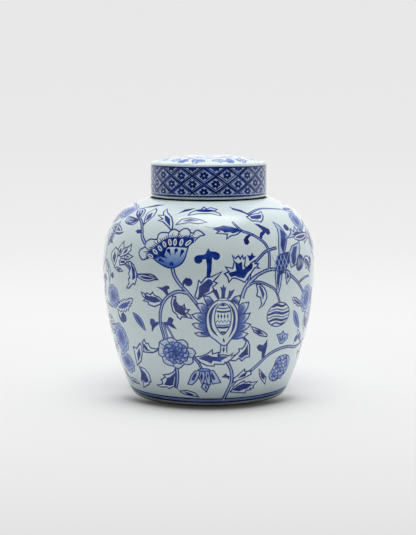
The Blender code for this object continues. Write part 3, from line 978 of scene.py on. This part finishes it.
    curl(sheet, on(-13, 116), 5, 7, 6.6)
    curl(sheet, on(-64, 121), 5, -1, 5.4)
    curl(sheet, on(58, 56), 3, 7, 6)
    curl(sheet, on(-58, 88), 8, -9, 8, turn=10)
    curl(sheet, on(52, 163), 3, 5, 6, flip=True)

    long_leaf(sheet, on(-39, 124), 21, 5.2, 1, 0, turn=-92)
    long_leaf(sheet, on(-59, 90.5), 30, 13, 2, 7, turn=-66, blade=DEEP)
    long_leaf(sheet, on(49.5, 102), 22, 6.5, 1, 5, turn=-115)
    long_leaf(sheet, on(53.5, 156), 30, 6.5, 1, 0, turn=-86)
    long_leaf(sheet, on(-57.5, 161), 30, 7, 2, 0, turn=86)
    washed_blade(sheet, on(52, 90), 24, 6.5, 1, turn=-142)
    washed_blade(sheet, on(-44, 89.5), 20, 6.5, -1, turn=-140)


# ---------------------------------------------------------------- sections read from the CAD nodes

def section(node):
    """A turned CAD node's section in millimetres: (r, z) points in order, from its upper end on the axis."""
    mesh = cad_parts[node].data
    linked = {}
    for edge in mesh.edges:
        a, b = (mesh.vertices[i].co for i in edge.vertices)
        if max(abs(a.y), abs(b.y)) < TOUCH and min(a.x, b.x) > -TOUCH:
            first, second = ((round(p.x / MM, 3) + 0.0, round(p.z / MM, 3) + 0.0) for p in (a, b))
            if first != second:
                linked.setdefault(first, set()).add(second)
                linked.setdefault(second, set()).add(first)
    start = max((p for p, near in linked.items() if len(near) == 1), key=lambda p: p[1])
    ordered = [start]
    while True:
        onward = [p for p in linked[ordered[-1]] if p not in ordered[-2:]]
        if not onward:
            break
        ordered.append(onward[0])
    return np.array(ordered)


def smoothed(points):
    """The section with curves drawn through its points: one array for each stretch between sharp corners."""
    step = np.diff(points, axis=0)
    length = np.hypot(*step.T)
    along = step / length[:, None]
    heading = np.unwrap(np.arctan2(along[:, 1], along[:, 0]))
    stretches, made = [], [points[:1]]
    for i in range(len(step)):
        ends = []
        for before, after in ((i - 1, i), (i, i + 1)):
            within = 0 <= before and after < len(step)
            joined = within and abs(heading[after] - heading[before]) < CORNER_ANGLE
            if joined and length[i] < STRAIGHT_LENGTH:
                straight = [k for k in (before, after) if length[k] >= STRAIGHT_LENGTH]
                mean = along[before] * length[after] + along[after] * length[before]
                ends.append(along[straight[0]] if straight else mean / np.hypot(*mean))
            else:
                ends.append(along[i])
        count = max(2, int(length[i] / SECTION_STEP) + 1)
        t = np.linspace(0, 1, count + 1)[1:, None]
        made.append(
            points[i] * (1 - t) ** 2 * (1 + 2 * t)
            + points[i + 1] * t**2 * (3 - 2 * t)
            + length[i] * (ends[0] * t * (1 - t) ** 2 - ends[1] * t**2 * (1 - t))
        )
        last = i == len(step) - 1
        if last or abs(heading[i + 1] - heading[i]) >= CORNER_ANGLE:
            stretches.append(np.minimum(np.vstack(made), points.max(axis=0)))
            made = [points[i + 1 : i + 2]]
    return stretches


class Wall:
    """A smooth stretch of a section, swept round Z.

    Its rows run against the section's order, so up a wall on its outer side. A flat sheet is wrapped on it:
    x runs round it from the front, in millimetres where it is widest, and y runs up it.
    """

    def __init__(self, points):
        self.points = points[::-1]
        self.up = np.concatenate([[0], np.cumsum(np.hypot(*np.diff(self.points, axis=0).T))])
        along = np.gradient(self.points, self.up, axis=0)
        along /= np.hypot(*along.T)[:, None]
        self.facing = np.column_stack([along[:, 1], -along[:, 0]])
        self.heading = np.unwrap(np.arctan2(along[:, 1], along[:, 0]))
        self.girth = self.points[:, 0].max()

    def radius_at(self, up):
        return np.interp(up, self.up, self.points[:, 0])

    def row_within(self, radius):
        """The first row above the widest one that is narrower than this."""
        widest = int(np.argmax(self.points[:, 0]))
        return widest + int(np.argmax(self.points[widest:, 0] < radius))

    def solid(self, sheet_points):
        """Where points of the sheet lie on the pottery, in metres, and which way its surface faces there."""
        angle = sheet_points[:, 0] / self.girth
        r, z = (np.interp(sheet_points[:, 1], self.up, self.points[:, k]) for k in (0, 1))
        out, lift = (np.interp(sheet_points[:, 1], self.up, self.facing[:, k]) for k in (0, 1))
        around = np.column_stack([np.sin(angle), -np.cos(angle)])
        places = np.column_stack([around * r[:, None], z]) * MM
        return places, unit(np.column_stack([around * out[:, None], lift]))


class Top:
    """The rows of a wall that close over the axis, in plan. A flat sheet lies on it with the same x and y."""

    def __init__(self, wall, first_row):
        self.rows = slice(first_row, None)
        self.wall = wall
        self.edge = wall.points[first_row, 0]

    def solid(self, sheet_points):
        r = np.hypot(*sheet_points.T)
        inward = self.wall.points[self.rows][::-1, 0]
        z = np.interp(r, inward, self.wall.points[self.rows][::-1, 1])
        out, lift = (np.interp(r, inward, self.wall.facing[self.rows][::-1, k]) for k in (0, 1))
        around = sheet_points / np.maximum(r, TOUCH)[:, None]
        places = np.column_stack([sheet_points, z]) * MM
        return places, unit(np.column_stack([around * out[:, None], lift]))


def unit(vectors):
    return vectors / np.linalg.norm(vectors, axis=1)[:, None]


# ---------------------------------------------------------------- from painted sheets to triangles

def encloses(outline, points):
    """Which points an outline goes round."""
    winding = np.zeros(len(points), int)
    x, y = points.T
    for (ax, ay), (bx, by) in zip(outline, np.roll(outline, -1, axis=0)):
        crossing = (ay <= y) != (by <= y)
        left = (bx - ax) * (y - ay) - (x - ax) * (by - ay)
        winding += (crossing & (left > 0) & (by > ay)).astype(int)
        winding -= (crossing & (left < 0) & (by < ay)).astype(int)
    return winding != 0


def cut(sheet, rim, inner):
    """Cuts a painted sheet into triangles along every outline. Returns points, triangles and corner tones.

    rim is the sheet's own closed edge, and inner are extra points that keep the triangles small.
    """
    shapes = [shape for _, shape in sorted(enumerate(sheet.shapes), key=lambda item: (item[1][0], item[0]))]
    loops = [rim] + [outline for _, outline, _, _ in shapes]
    edges, start = [], 0
    for loop in loops:
        ids = np.arange(start, start + len(loop))
        edges.append(np.column_stack([ids, np.roll(ids, -1)]))
        start += len(loop)
    corners = [Vector(p) for p in np.vstack([*loops, inner])]
    found = delaunay_2d_cdt(corners, np.vstack(edges).tolist(), [], 0, CUT_TOLERANCE, False)
    flat = np.array([tuple(v) for v in found[0]])
    triangles = np.array(found[2])
    middle = flat[triangles].mean(axis=1)
    kept = encloses(rim, middle)
    triangles, middle = triangles[kept], middle[kept]

    tones = np.zeros((len(triangles), 3))
    order = np.argsort(middle[:, 0])
    sorted_x = middle[order, 0]
    for _, outline, tone, fade in shapes:
        low, high = outline.min(axis=0), outline.max(axis=0)
        near = order[np.searchsorted(sorted_x, low[0]) : np.searchsorted(sorted_x, high[0])]
        near = near[(middle[near, 1] > low[1]) & (middle[near, 1] < high[1])]
        inside = near[encloses(outline, middle[near])]
        tones[inside] = tone
        if fade is not None:
            begin, end, last = fade
            line = end - begin
            share = (flat[triangles[inside]] - begin) @ line / max(line @ line, TOUCH)
            tones[inside] += (last - tone) * np.clip(share, 0, 1)
    return flat, triangles, tones


class Clay:
    """Collects the faces of one closed piece, with the way their corners face and the cobalt on them."""

    def __init__(self):
        self.places = []
        self.facings = []
        self.faces = []
        self.inks = []
        self.count = 0

    def add(self, places, facings, faces, inks):
        self.places.append(places)
        self.facings.append(facings)
        self.faces += (np.array(faces) + self.count).tolist()
        self.inks.append(inks)
        self.count += len(places)

    def sweep(self, wall, first=0, last=None):
        """Sweeps a wall's bare rows round, from the first to the last one."""
        ups = wall.up[first : None if last is None else last + 1]
        around = np.arange(COLUMNS) * 2 * math.pi * wall.girth / COLUMNS
        grid = np.column_stack([np.tile(around, len(ups)), np.repeat(ups, COLUMNS)])
        places, facings = wall.solid(grid)
        faces = []
        for row in range(len(ups) - 1):
            low = row * COLUMNS
            for k in range(COLUMNS):
                right = (k + 1) % COLUMNS
                faces.append((low + k, low + right, low + COLUMNS + right, low + COLUMNS + k))
        self.add(places, facings, faces, np.zeros(4 * len(faces)))

    def wrap(self, wall, sheet, last):
        """Wraps a painted sheet on a wall, from its lowest row to the last one. Its seam is on the left."""
        left, right = -math.pi / 2 * wall.girth, 3 * math.pi / 2 * wall.girth
        top = wall.up[last]
        rows = [0.0]
        for up, heading in zip(wall.up[1:last], wall.heading[1:last]):
            bend = abs(heading - np.interp(rows[-1], wall.up, wall.heading))
            if up - rows[-1] > CELL or bend > CELL_BEND:
                rows.append(up)
        rows = np.array(rows[1:])
        across = np.linspace(left, right, COLUMNS + 1)
        rim = np.vstack([
            np.column_stack([across, np.zeros_like(across)]),
            np.column_stack([np.full_like(rows, right), rows]),
            np.column_stack([across[::-1], np.full_like(across, top)]),
            np.column_stack([np.full_like(rows, left), rows[::-1]]),
        ])
        columns = across[1:-1]
        inner = np.column_stack([np.tile(columns, len(rows)), np.repeat(rows, len(columns))])
        whole = np.array([right - left, 0.0])
        for level, outline, tone, fade in list(sheet.shapes):
            outline[:, 1] = np.clip(outline[:, 1], EDGE_MARGIN, top - EDGE_MARGIN)
            for beyond, move in ((outline[:, 0].min() < left, whole),
                                 (outline[:, 0].max() > right, -whole)):
                if beyond:
                    moved = fade and (fade[0] + move, fade[1] + move, fade[2])
                    sheet.add(outline + move, tone, level, moved)
        flat, triangles, tones = cut(sheet, rim, inner)
        self.add(*wall.solid(flat), triangles, tones.ravel())

    def cover(self, top, sheet):
        """Lays a painted sheet on a top."""
        angle = np.arange(COLUMNS) * 2 * math.pi / COLUMNS
        rim = top.edge * np.column_stack([np.sin(angle), -np.cos(angle)])
        inner = [(0.0, 0.0)]
        for ring in np.arange(CELL, top.edge - CELL / 2, CELL):
            turn = np.arange(int(2 * math.pi * ring / CELL)) * CELL / ring
            inner += [(ring * math.cos(a), ring * math.sin(a)) for a in turn]
        flat, triangles, tones = cut(sheet, rim, np.array(inner))
        self.add(*top.solid(flat), triangles, tones.ravel())

    def fire(self, name, material):
        """Makes the piece: one closed mesh whose corners carry the paint in "ink"."""
        mesh = bpy.data.meshes.new(name)
        mesh.from_pydata(np.vstack(self.places).tolist(), [], self.faces)
        facings = np.vstack(self.facings)
        corner = np.empty(len(mesh.loops), int)
        mesh.loops.foreach_get("vertex_index", corner)
        mesh.attributes.new("ink", "FLOAT", "CORNER").data.foreach_set("value", np.concatenate(self.inks))
        faced = mesh.attributes.new("facing", "FLOAT_VECTOR", "CORNER")
        faced.data.foreach_set("vector", facings[corner].ravel())

        welded = bmesh.new()
        welded.from_mesh(mesh)
        bmesh.ops.remove_doubles(welded, verts=welded.verts, dist=WELD)
        welded.to_mesh(mesh)
        welded.free()

        mesh.shade_smooth()
        normals = np.empty(3 * len(mesh.loops))
        mesh.attributes["facing"].data.foreach_get("vector", normals)
        mesh.attributes.remove(mesh.attributes["facing"])
        mesh.normals_split_custom_set(normals.reshape(-1, 3).tolist())
        mesh.materials.append(material)
        piece = bpy.data.objects.new(name, mesh)
        bpy.context.scene.collection.objects.link(piece)
        return piece


# ---------------------------------------------------------------- the painted borders and the lid

def ring(sheet, height, width, tone, waver=0.12, level=UNDER):
    """A line painted right round a wall, with the slight waver of a brush held to a turning pot."""
    girth = sheet.wall.girth
    turn = np.arange(-0.55 * math.pi, 1.56 * math.pi, 4.0 / girth)
    drift = waver * (np.sin(3 * turn + height) + 0.6 * np.sin(7 * turn + 2 * height))
    half = width / 2 * (1 + 0.12 * np.sin(5 * turn + height))
    low = np.column_stack([turn * girth, height + drift - half])
    high = np.column_stack([turn * girth, height + drift + half])
    sheet.add(np.vstack([low, high[::-1]]), tone, level)


def paint_foot(sheet):
    """The band round the foot: two dark lines with a paler wash between them."""
    low, high = FOOT_WASH
    ring(sheet, (low + high) / 2, high - low, PALE * 1.4)
    for height, width in FOOT_LINES:
        ring(sheet, height, width, FULL)


def paint_lozenges(sheet):
    """The lid's side: a lattice of lozenges, each with a thinner lozenge and a dark flower inside it."""
    hand = np.random.default_rng(4)
    bottom, top = LID_BAND
    pitch = 2 * math.pi * sheet.wall.girth / LID_COLUMNS
    slope = LID_CELL_HALF_HEIGHT / (pitch / 2)
    start = math.radians(LID_FIRST_CELL) * sheet.wall.girth
    half, tall = pitch / 2, LID_CELL_HALF_HEIGHT
    corners = np.array([(half, 0), (0, tall), (-half, 0), (0, -tall)])
    pen = Pen(sheet, (0, 0), level=CORE)
    ring(sheet, (bottom + top) / 2, top - bottom, LID_WASH)
    for k in range(LID_COLUMNS):
        for lean in (-1, 1):
            low = (start + (k + 0.5) * pitch - lean * LID_ROW_HEIGHTS[0] / slope, bottom)
            high = (low[0] + lean * (top - bottom) / slope, top)
            bow = between(low, high, 0.5) + hand.normal(0, 0.2, 2)
            sheet.add(sides(curve([low, bow, high]), LATTICE_LINE / 2), FULL, UNDER)
        for row, height in enumerate(LID_ROW_HEIGHTS):
            centre = np.array([start + (k + 0.5 * (row % 2)) * pitch, bottom + height])
            centre += hand.normal(0, 0.2, 2)
            inner = centre + corners * LID_INNER_SHARE + hand.normal(0, 0.15, (4, 2))
            pen.outlined(inner, LID_WASH, LATTICE_INNER_LINE, DARK)
            blossom(sheet, centre, hand.uniform(0, 60))
    for height, width, tone in ((bottom - 3, 6, BARE), (top + 2.5, 5, BARE), (bottom + 1.8, 0.8, LID_WASH),
                                (bottom + 0.6, 1.7, FULL), (top - 0.5, 1.4, FULL)):
        ring(sheet, height, width, tone, 0.06, OVER)


def blossom(sheet, centre, spin):
    """A dark flower of six petals round a bare dot."""
    for petal in range(6):
        angle = math.radians(spin + 60 * petal)
        spot = centre + np.array([2.7 * math.cos(angle), 2.35 * math.sin(angle)])
        sheet.add(ellipse(spot, 1.6, 1.45, math.degrees(angle)), FULL, CORE)
    sheet.add(ellipse(centre, 2.9, 2.55), FULL, CORE)
    sheet.add(ellipse(centre, 0.8, 0.7), BARE, CORE)


def paint_crown(sheet):
    """The lid's top: a vine that winds round a peony, with leaves on both sides of it."""

    def spoke(radius, degrees):
        angle = math.radians(degrees)
        return (radius * math.cos(angle), radius * math.sin(angle))

    for radius, tone in ((LID_EDGE_LINE + 0.35, WASH), (LID_EDGE_LINE - 0.35, BARE)):
        sheet.add(ellipse((0, 0), radius, radius), tone, UNDER)
    wave = 360 / CROWN_WAVES
    radius, swing = CROWN_VINE
    turns = range(0, 366, 6)
    vine = [spoke(radius + swing * math.sin(math.radians(CROWN_WAVES * turn)), turn) for turn in turns]
    sheet.trail(vine, width=2.4, ends=1.0)
    for k in range(CROWN_WAVES):
        crest, dip = (k + 0.25) * wave, (k + 0.75) * wave
        leaf(sheet, spoke(38, crest + 6), SPRAY_LEAF, turn=crest - 20, size=0.55)
        leaf(sheet, spoke(39, crest - 8), SPRAY_LEAF, turn=crest - 95, size=0.55, flip=True)
        leaf(sheet, spoke(35, dip + 14), THISTLE, turn=dip - 52, size=0.5)
        leaf(sheet, spoke(27, crest + 10), SPRAY_LEAF, turn=crest + 150, size=0.5)
        leaf(sheet, spoke(28, dip + 10), THISTLE, turn=dip + 70, size=0.45)
        small_bloom(sheet, spoke(40, dip), turn=dip - 90, size=0.8)
        curl(sheet, spoke(32, crest - 4), 4, 4, 3.8, turn=crest + 110)
        curl(sheet, spoke(44, crest), 3, 3, 3.4, turn=crest - 60)
    peony(sheet, (0, 0), size=0.95)


# ---------------------------------------------------------------- materials

class Nodes:
    """Builds a node tree. An input is given a value, or another node's output to link."""

    def __init__(self, owner):
        owner.use_nodes = True
        self.tree = owner.node_tree
        self.tree.nodes.clear()

    def add(self, kind, *inputs, output=0, **settings):
        node = self.tree.nodes.new(kind)
        for name, value in settings.items():
            setattr(node, name, value)
        for socket, value in inputs:
            if isinstance(value, bpy.types.NodeSocket):
                self.tree.links.new(value, node.inputs[socket])
            else:
                node.inputs[socket].default_value = value
        return node.outputs[output] if node.outputs else node

    def maths(self, operation, first, second=0.0, clamp=False):
        return self.add("ShaderNodeMath", (0, first), (1, second), operation=operation, use_clamp=clamp)

    def spread(self, value, low, high, new_low=0.0, new_high=1.0, smooth=False):
        """Maps low to high onto new_low to new_high."""
        kind = "SMOOTHSTEP" if smooth else "LINEAR"
        ends = (("From Min", low), ("From Max", high), ("To Min", new_low), ("To Max", new_high))
        return self.add("ShaderNodeMapRange", ("Value", value), *ends, interpolation_type=kind)

    def noise(self, place, per_metre, detail=3.0, roughness=0.5):
        settings = (("Scale", per_metre), ("Detail", detail), ("Roughness", roughness))
        return self.add("ShaderNodeTexNoise", ("Vector", place), *settings)

    def mix(self, share, first, second):
        return self.add("ShaderNodeMix", (0, share), (6, first), (7, second), output=2, data_type="RGBA")

    def ramp(self, value, stops):
        node = self.tree.nodes.new("ShaderNodeValToRGB")
        self.tree.links.new(value, node.inputs[0])
        elements = node.color_ramp.elements
        while len(elements) < len(stops):
            elements.new(0.5)
        for element, (position, colour) in zip(elements, stops):
            element.position = position
            element.color = (*colour, 1)
        return node.outputs[0]


def glaze(name, bare_edges):
    """Clear gloss glaze over cobalt on pale porcelain, and bare clay where z passes these edges, in metres.

    bare_edges is (height that the clay is bare below, height that it is bare above).
    """
    material = bpy.data.materials.new(name)
    nodes = Nodes(material)
    place = nodes.add("ShaderNodeTexCoord", output=3)
    ink = nodes.add("ShaderNodeAttribute", output=2, attribute_name="ink")

    pooled = nodes.noise(place, 120, 4, 0.6)
    heaped = nodes.noise(place, 1300, 2)
    thick = nodes.spread(pooled, 0.3, 0.7, 0.74, 1.08)
    strength = nodes.maths("ADD", thick, nodes.spread(heaped, 0.3, 0.7, -0.07, 0.07))
    laid = nodes.maths("MULTIPLY", ink, strength, clamp=True)
    painted = nodes.ramp(laid, PAINT_RAMP)

    clouds = nodes.spread(nodes.noise(place, 26, 2), 0.35, 0.65, 0.0, 0.22)
    unpainted = nodes.spread(ink, 0.0, 0.1, 1.0, 0.0)
    cloudy = nodes.mix(nodes.maths("MULTIPLY", clouds, unpainted), painted, (*GLAZE_CLOUD, 1))
    speck = nodes.add("ShaderNodeTexVoronoi", ("Vector", place), ("Scale", 95.0), ("Randomness", 1.0))
    specked = nodes.mix(nodes.spread(speck, 0.028, 0.045, 0.55, 0.0), cloudy, (*SPECK, 1))

    height = nodes.add("ShaderNodeSeparateXYZ", ("Vector", place), output=2)
    waver = nodes.spread(nodes.noise(place, 330, 3), 0.3, 0.7, -0.00006, 0.00006)
    edge = nodes.maths("ADD", height, waver)
    below = nodes.spread(edge, bare_edges[0] - 0.0002, bare_edges[0] + 0.0001, 1.0, 0.0, smooth=True)
    above = nodes.spread(edge, bare_edges[1] - 0.0001, bare_edges[1] + 0.0002, 0.0, 1.0, smooth=True)
    bare = nodes.maths("MAXIMUM", below, above)
    grain = nodes.noise(place, 2400, 3, 0.7)
    # The foot's clay is partly its own brown and partly painted shade where it meets the floor.
    foot_clay_and_shade = nodes.mix(grain, (*FOOT_CLAY_AND_SHADE_DARK, 1), (*FOOT_CLAY_AND_SHADE_PALE, 1))
    neck_clay = nodes.mix(grain, (*BISCUIT_DARK, 1), (*BISCUIT_PALE, 1))
    clay = nodes.mix(above, foot_clay_and_shade, neck_clay)
    # Painted shade: a near-black band on the bare neck just above its edge, where the gap under the lid lies in
    # shadow.
    corner = [bare_edges[1] + depth for depth in LID_GAP_SHADE_DEPTH]
    lid_gap_shade = nodes.maths("MULTIPLY", above, nodes.spread(edge, *corner, 1.0, 0.0, smooth=True))
    bare_clay_and_gap_shade = nodes.mix(lid_gap_shade, clay, (*LID_GAP_SHADE, 1))
    colour = nodes.mix(bare, specked, bare_clay_and_gap_shade)

    gloss = nodes.spread(nodes.noise(place, 60, 4), 0.3, 0.7, 0.055, 0.12)
    roughness = nodes.add("ShaderNodeMix", (0, bare), (2, gloss), (3, 0.85), data_type="FLOAT")

    peel = nodes.spread(nodes.noise(place, 95, 2), 0.0, 1.0, 0.0, 0.00006)
    pits = nodes.spread(speck, 0.0, 0.06, -0.00003, 0.0)
    relief = nodes.maths("ADD", peel, pits)
    rough_clay = nodes.maths("MULTIPLY", nodes.maths("MULTIPLY", grain, bare), 0.00018)
    lift = nodes.maths("ADD", relief, rough_clay)
    normal = nodes.add("ShaderNodeBump", ("Height", lift), ("Strength", 1.0), ("Distance", 1.0))

    shader = nodes.add("ShaderNodeBsdfPrincipled", ("Base Color", colour), ("Roughness", roughness),
                       ("Normal", normal),
                       ("IOR", 1.52))
    nodes.add("ShaderNodeOutputMaterial", ("Surface", shader))
    return material


# ---------------------------------------------------------------- the two pieces

def make_jar():
    """The body: its inside, rim and neck bare of paint, its outer wall painted from the foot to the neck."""
    clay = Clay()
    walls = [Wall(points) for points in smoothed(section("jar_body"))]
    outer = max(walls, key=lambda wall: wall.girth)
    for wall in walls:
        if wall is not outer:
            clay.sweep(wall)
    neck = outer.row_within(NECK_JOIN_RADIUS)
    clay.sweep(outer, first=neck)
    sheet = Sheet(outer)
    for start in (0, 180):
        paint_half(sheet, start)
    paint_foot(sheet)
    clay.wrap(outer, sheet, neck)
    piece = clay.fire("painted_jar", glaze("jar_glaze_painted", (FOOT_BARE_BELOW, NECK_BARE_ABOVE)))
    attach(piece, "jar")
    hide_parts("jar_body")


def make_lid():
    """The lid: a diapered side, a flowered top, and its inside bare of paint."""
    clay = Clay()
    outer, *rest = (Wall(points) for points in smoothed(section("lid")))
    for wall in rest:
        clay.sweep(wall)
    edge = outer.row_within(LID_TOP_RADIUS)
    side = Sheet(outer)
    paint_lozenges(side)
    clay.wrap(outer, side, edge)
    # The top's cobalt is weakened, partly as painted reflection of the light above it.
    crown = Sheet(strength=CROWN_INK_AND_SHEEN)
    paint_crown(crown)
    clay.cover(Top(outer, edge), crown)
    piece = clay.fire("painted_lid", glaze("lid_glaze_painted", (-1.0, 1.0)))
    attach(piece, "lid")
    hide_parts("lid")


# ---------------------------------------------------------------- stage, light and camera

def make_floor():
    """A pale round floor that thins out into the background. It glows a little, so that shadows stay light."""
    mesh = bpy.data.meshes.new("floor")
    disc = bmesh.new()
    bmesh.ops.create_circle(disc, cap_ends=True, segments=96, radius=FLOOR_RADIUS)
    disc.to_mesh(mesh)
    disc.free()
    floor = bpy.data.objects.new("floor", mesh)
    bpy.context.scene.collection.objects.link(floor)
    floor.location.z = -0.0002

    material = bpy.data.materials.new("floor")
    nodes = Nodes(material)
    place = nodes.add("ShaderNodeTexCoord", output=3)
    depth = nodes.add("ShaderNodeSeparateXYZ", ("Vector", place), output=1)
    distance = nodes.add("ShaderNodeVectorMath", (0, place), output=1, operation="LENGTH")
    # Painted shadow: near the foot on the front side the floor's colour, and the light it bounces onto the jar,
    # are darkened to stand in for the contact shadow.
    painted_contact_shadow = nodes.ramp(nodes.spread(distance, *CONTACT_REACH), CONTACT_RAMP)
    in_front = nodes.spread(nodes.maths("MULTIPLY", depth, -1.0), *CONTACT_FRONT, smooth=True)
    painted_contact_light = nodes.mix(in_front, (1, 1, 1, 1), painted_contact_shadow)
    # Painted shade: the floor's colour is darker towards the front.
    pale = nodes.ramp(nodes.spread(depth, *FLOOR_DEPTH), FLOOR_RAMP)
    tone = nodes.mix(painted_contact_light, (0, 0, 0, 1), pale)
    seen = nodes.add("ShaderNodeLightPath")
    paper = nodes.add("ShaderNodeBsdfDiffuse", ("Color", nodes.mix(FLOOR_PAPER, (0, 0, 0, 1), tone)))
    glow = nodes.add("ShaderNodeEmission", ("Color", tone), ("Strength", FLOOR_GLOW))
    pictured = nodes.add("ShaderNodeAddShader", (0, paper), (1, glow))
    lit = nodes.mix(painted_contact_light, (0, 0, 0, 1), (FLOOR_BOUNCE, FLOOR_BOUNCE, FLOOR_BOUNCE, 1))
    bounce = nodes.add("ShaderNodeBsdfDiffuse", ("Color", lit))
    solid = nodes.add("ShaderNodeMixShader", (0, seen), (1, bounce), (2, pictured))
    clear = nodes.add("ShaderNodeBsdfTransparent")
    fade = nodes.spread(distance, FLOOR_SOLID, FLOOR_RADIUS * 0.98, smooth=True)
    surface = nodes.add("ShaderNodeMixShader", (0, fade), (1, solid), (2, clear))
    nodes.add("ShaderNodeOutputMaterial", ("Surface", surface))
    mesh.materials.append(material)


def make_world():
    """A white studio: bright above, beside and behind, dark on the camera's side, with a plain pale backdrop."""
    world = bpy.data.worlds.new("studio")
    bpy.context.scene.world = world
    nodes = Nodes(world)
    direction = nodes.add("ShaderNodeTexCoord")
    height = nodes.add("ShaderNodeSeparateXYZ", ("Vector", direction), output=2)
    aims = [Vector(aim).normalized() for aim in (STUDIO_AXIS, GLOW_AIM)]
    backward, upward = (
        nodes.add("ShaderNodeVectorMath", (0, direction), (1, aim), output=1, operation="DOT_PRODUCT")
        for aim in aims
    )
    sides_light = nodes.ramp(nodes.spread(backward, -1.0, 1.0), STUDIO_RAMP)
    above = nodes.spread(upward, *GLOW_EDGE, smooth=True)
    light = nodes.mix(above, sides_light, (GLOW_RADIANCE, GLOW_RADIANCE, GLOW_RADIANCE, 1))
    backdrop = nodes.ramp(nodes.spread(height, *BACKDROP_HEIGHTS), BACKDROP_RAMP)
    seen = nodes.add("ShaderNodeLightPath")
    colour = nodes.mix(seen, light, backdrop)
    shine = nodes.add("ShaderNodeBackground", ("Color", colour), ("Strength", 1.0))
    nodes.add("ShaderNodeOutputWorld", ("Surface", shine))


def make_camera():
    """The view from the front, a little above the lid."""
    camera = bpy.data.cameras.new("camera")
    camera.lens = CAMERA_LENS
    camera.sensor_width = 36
    camera.clip_end = 20
    view = bpy.data.objects.new("camera", camera)
    bpy.context.scene.collection.objects.link(view)
    view.location = CAMERA_PLACE
    view.rotation_euler = (math.radians(90 - CAMERA_DIP), 0, 0)
    bpy.context.scene.camera = view


make_camera()
make_jar()
make_lid()
make_floor()
make_world()
bpy.context.scene.view_settings.view_transform = "Standard"
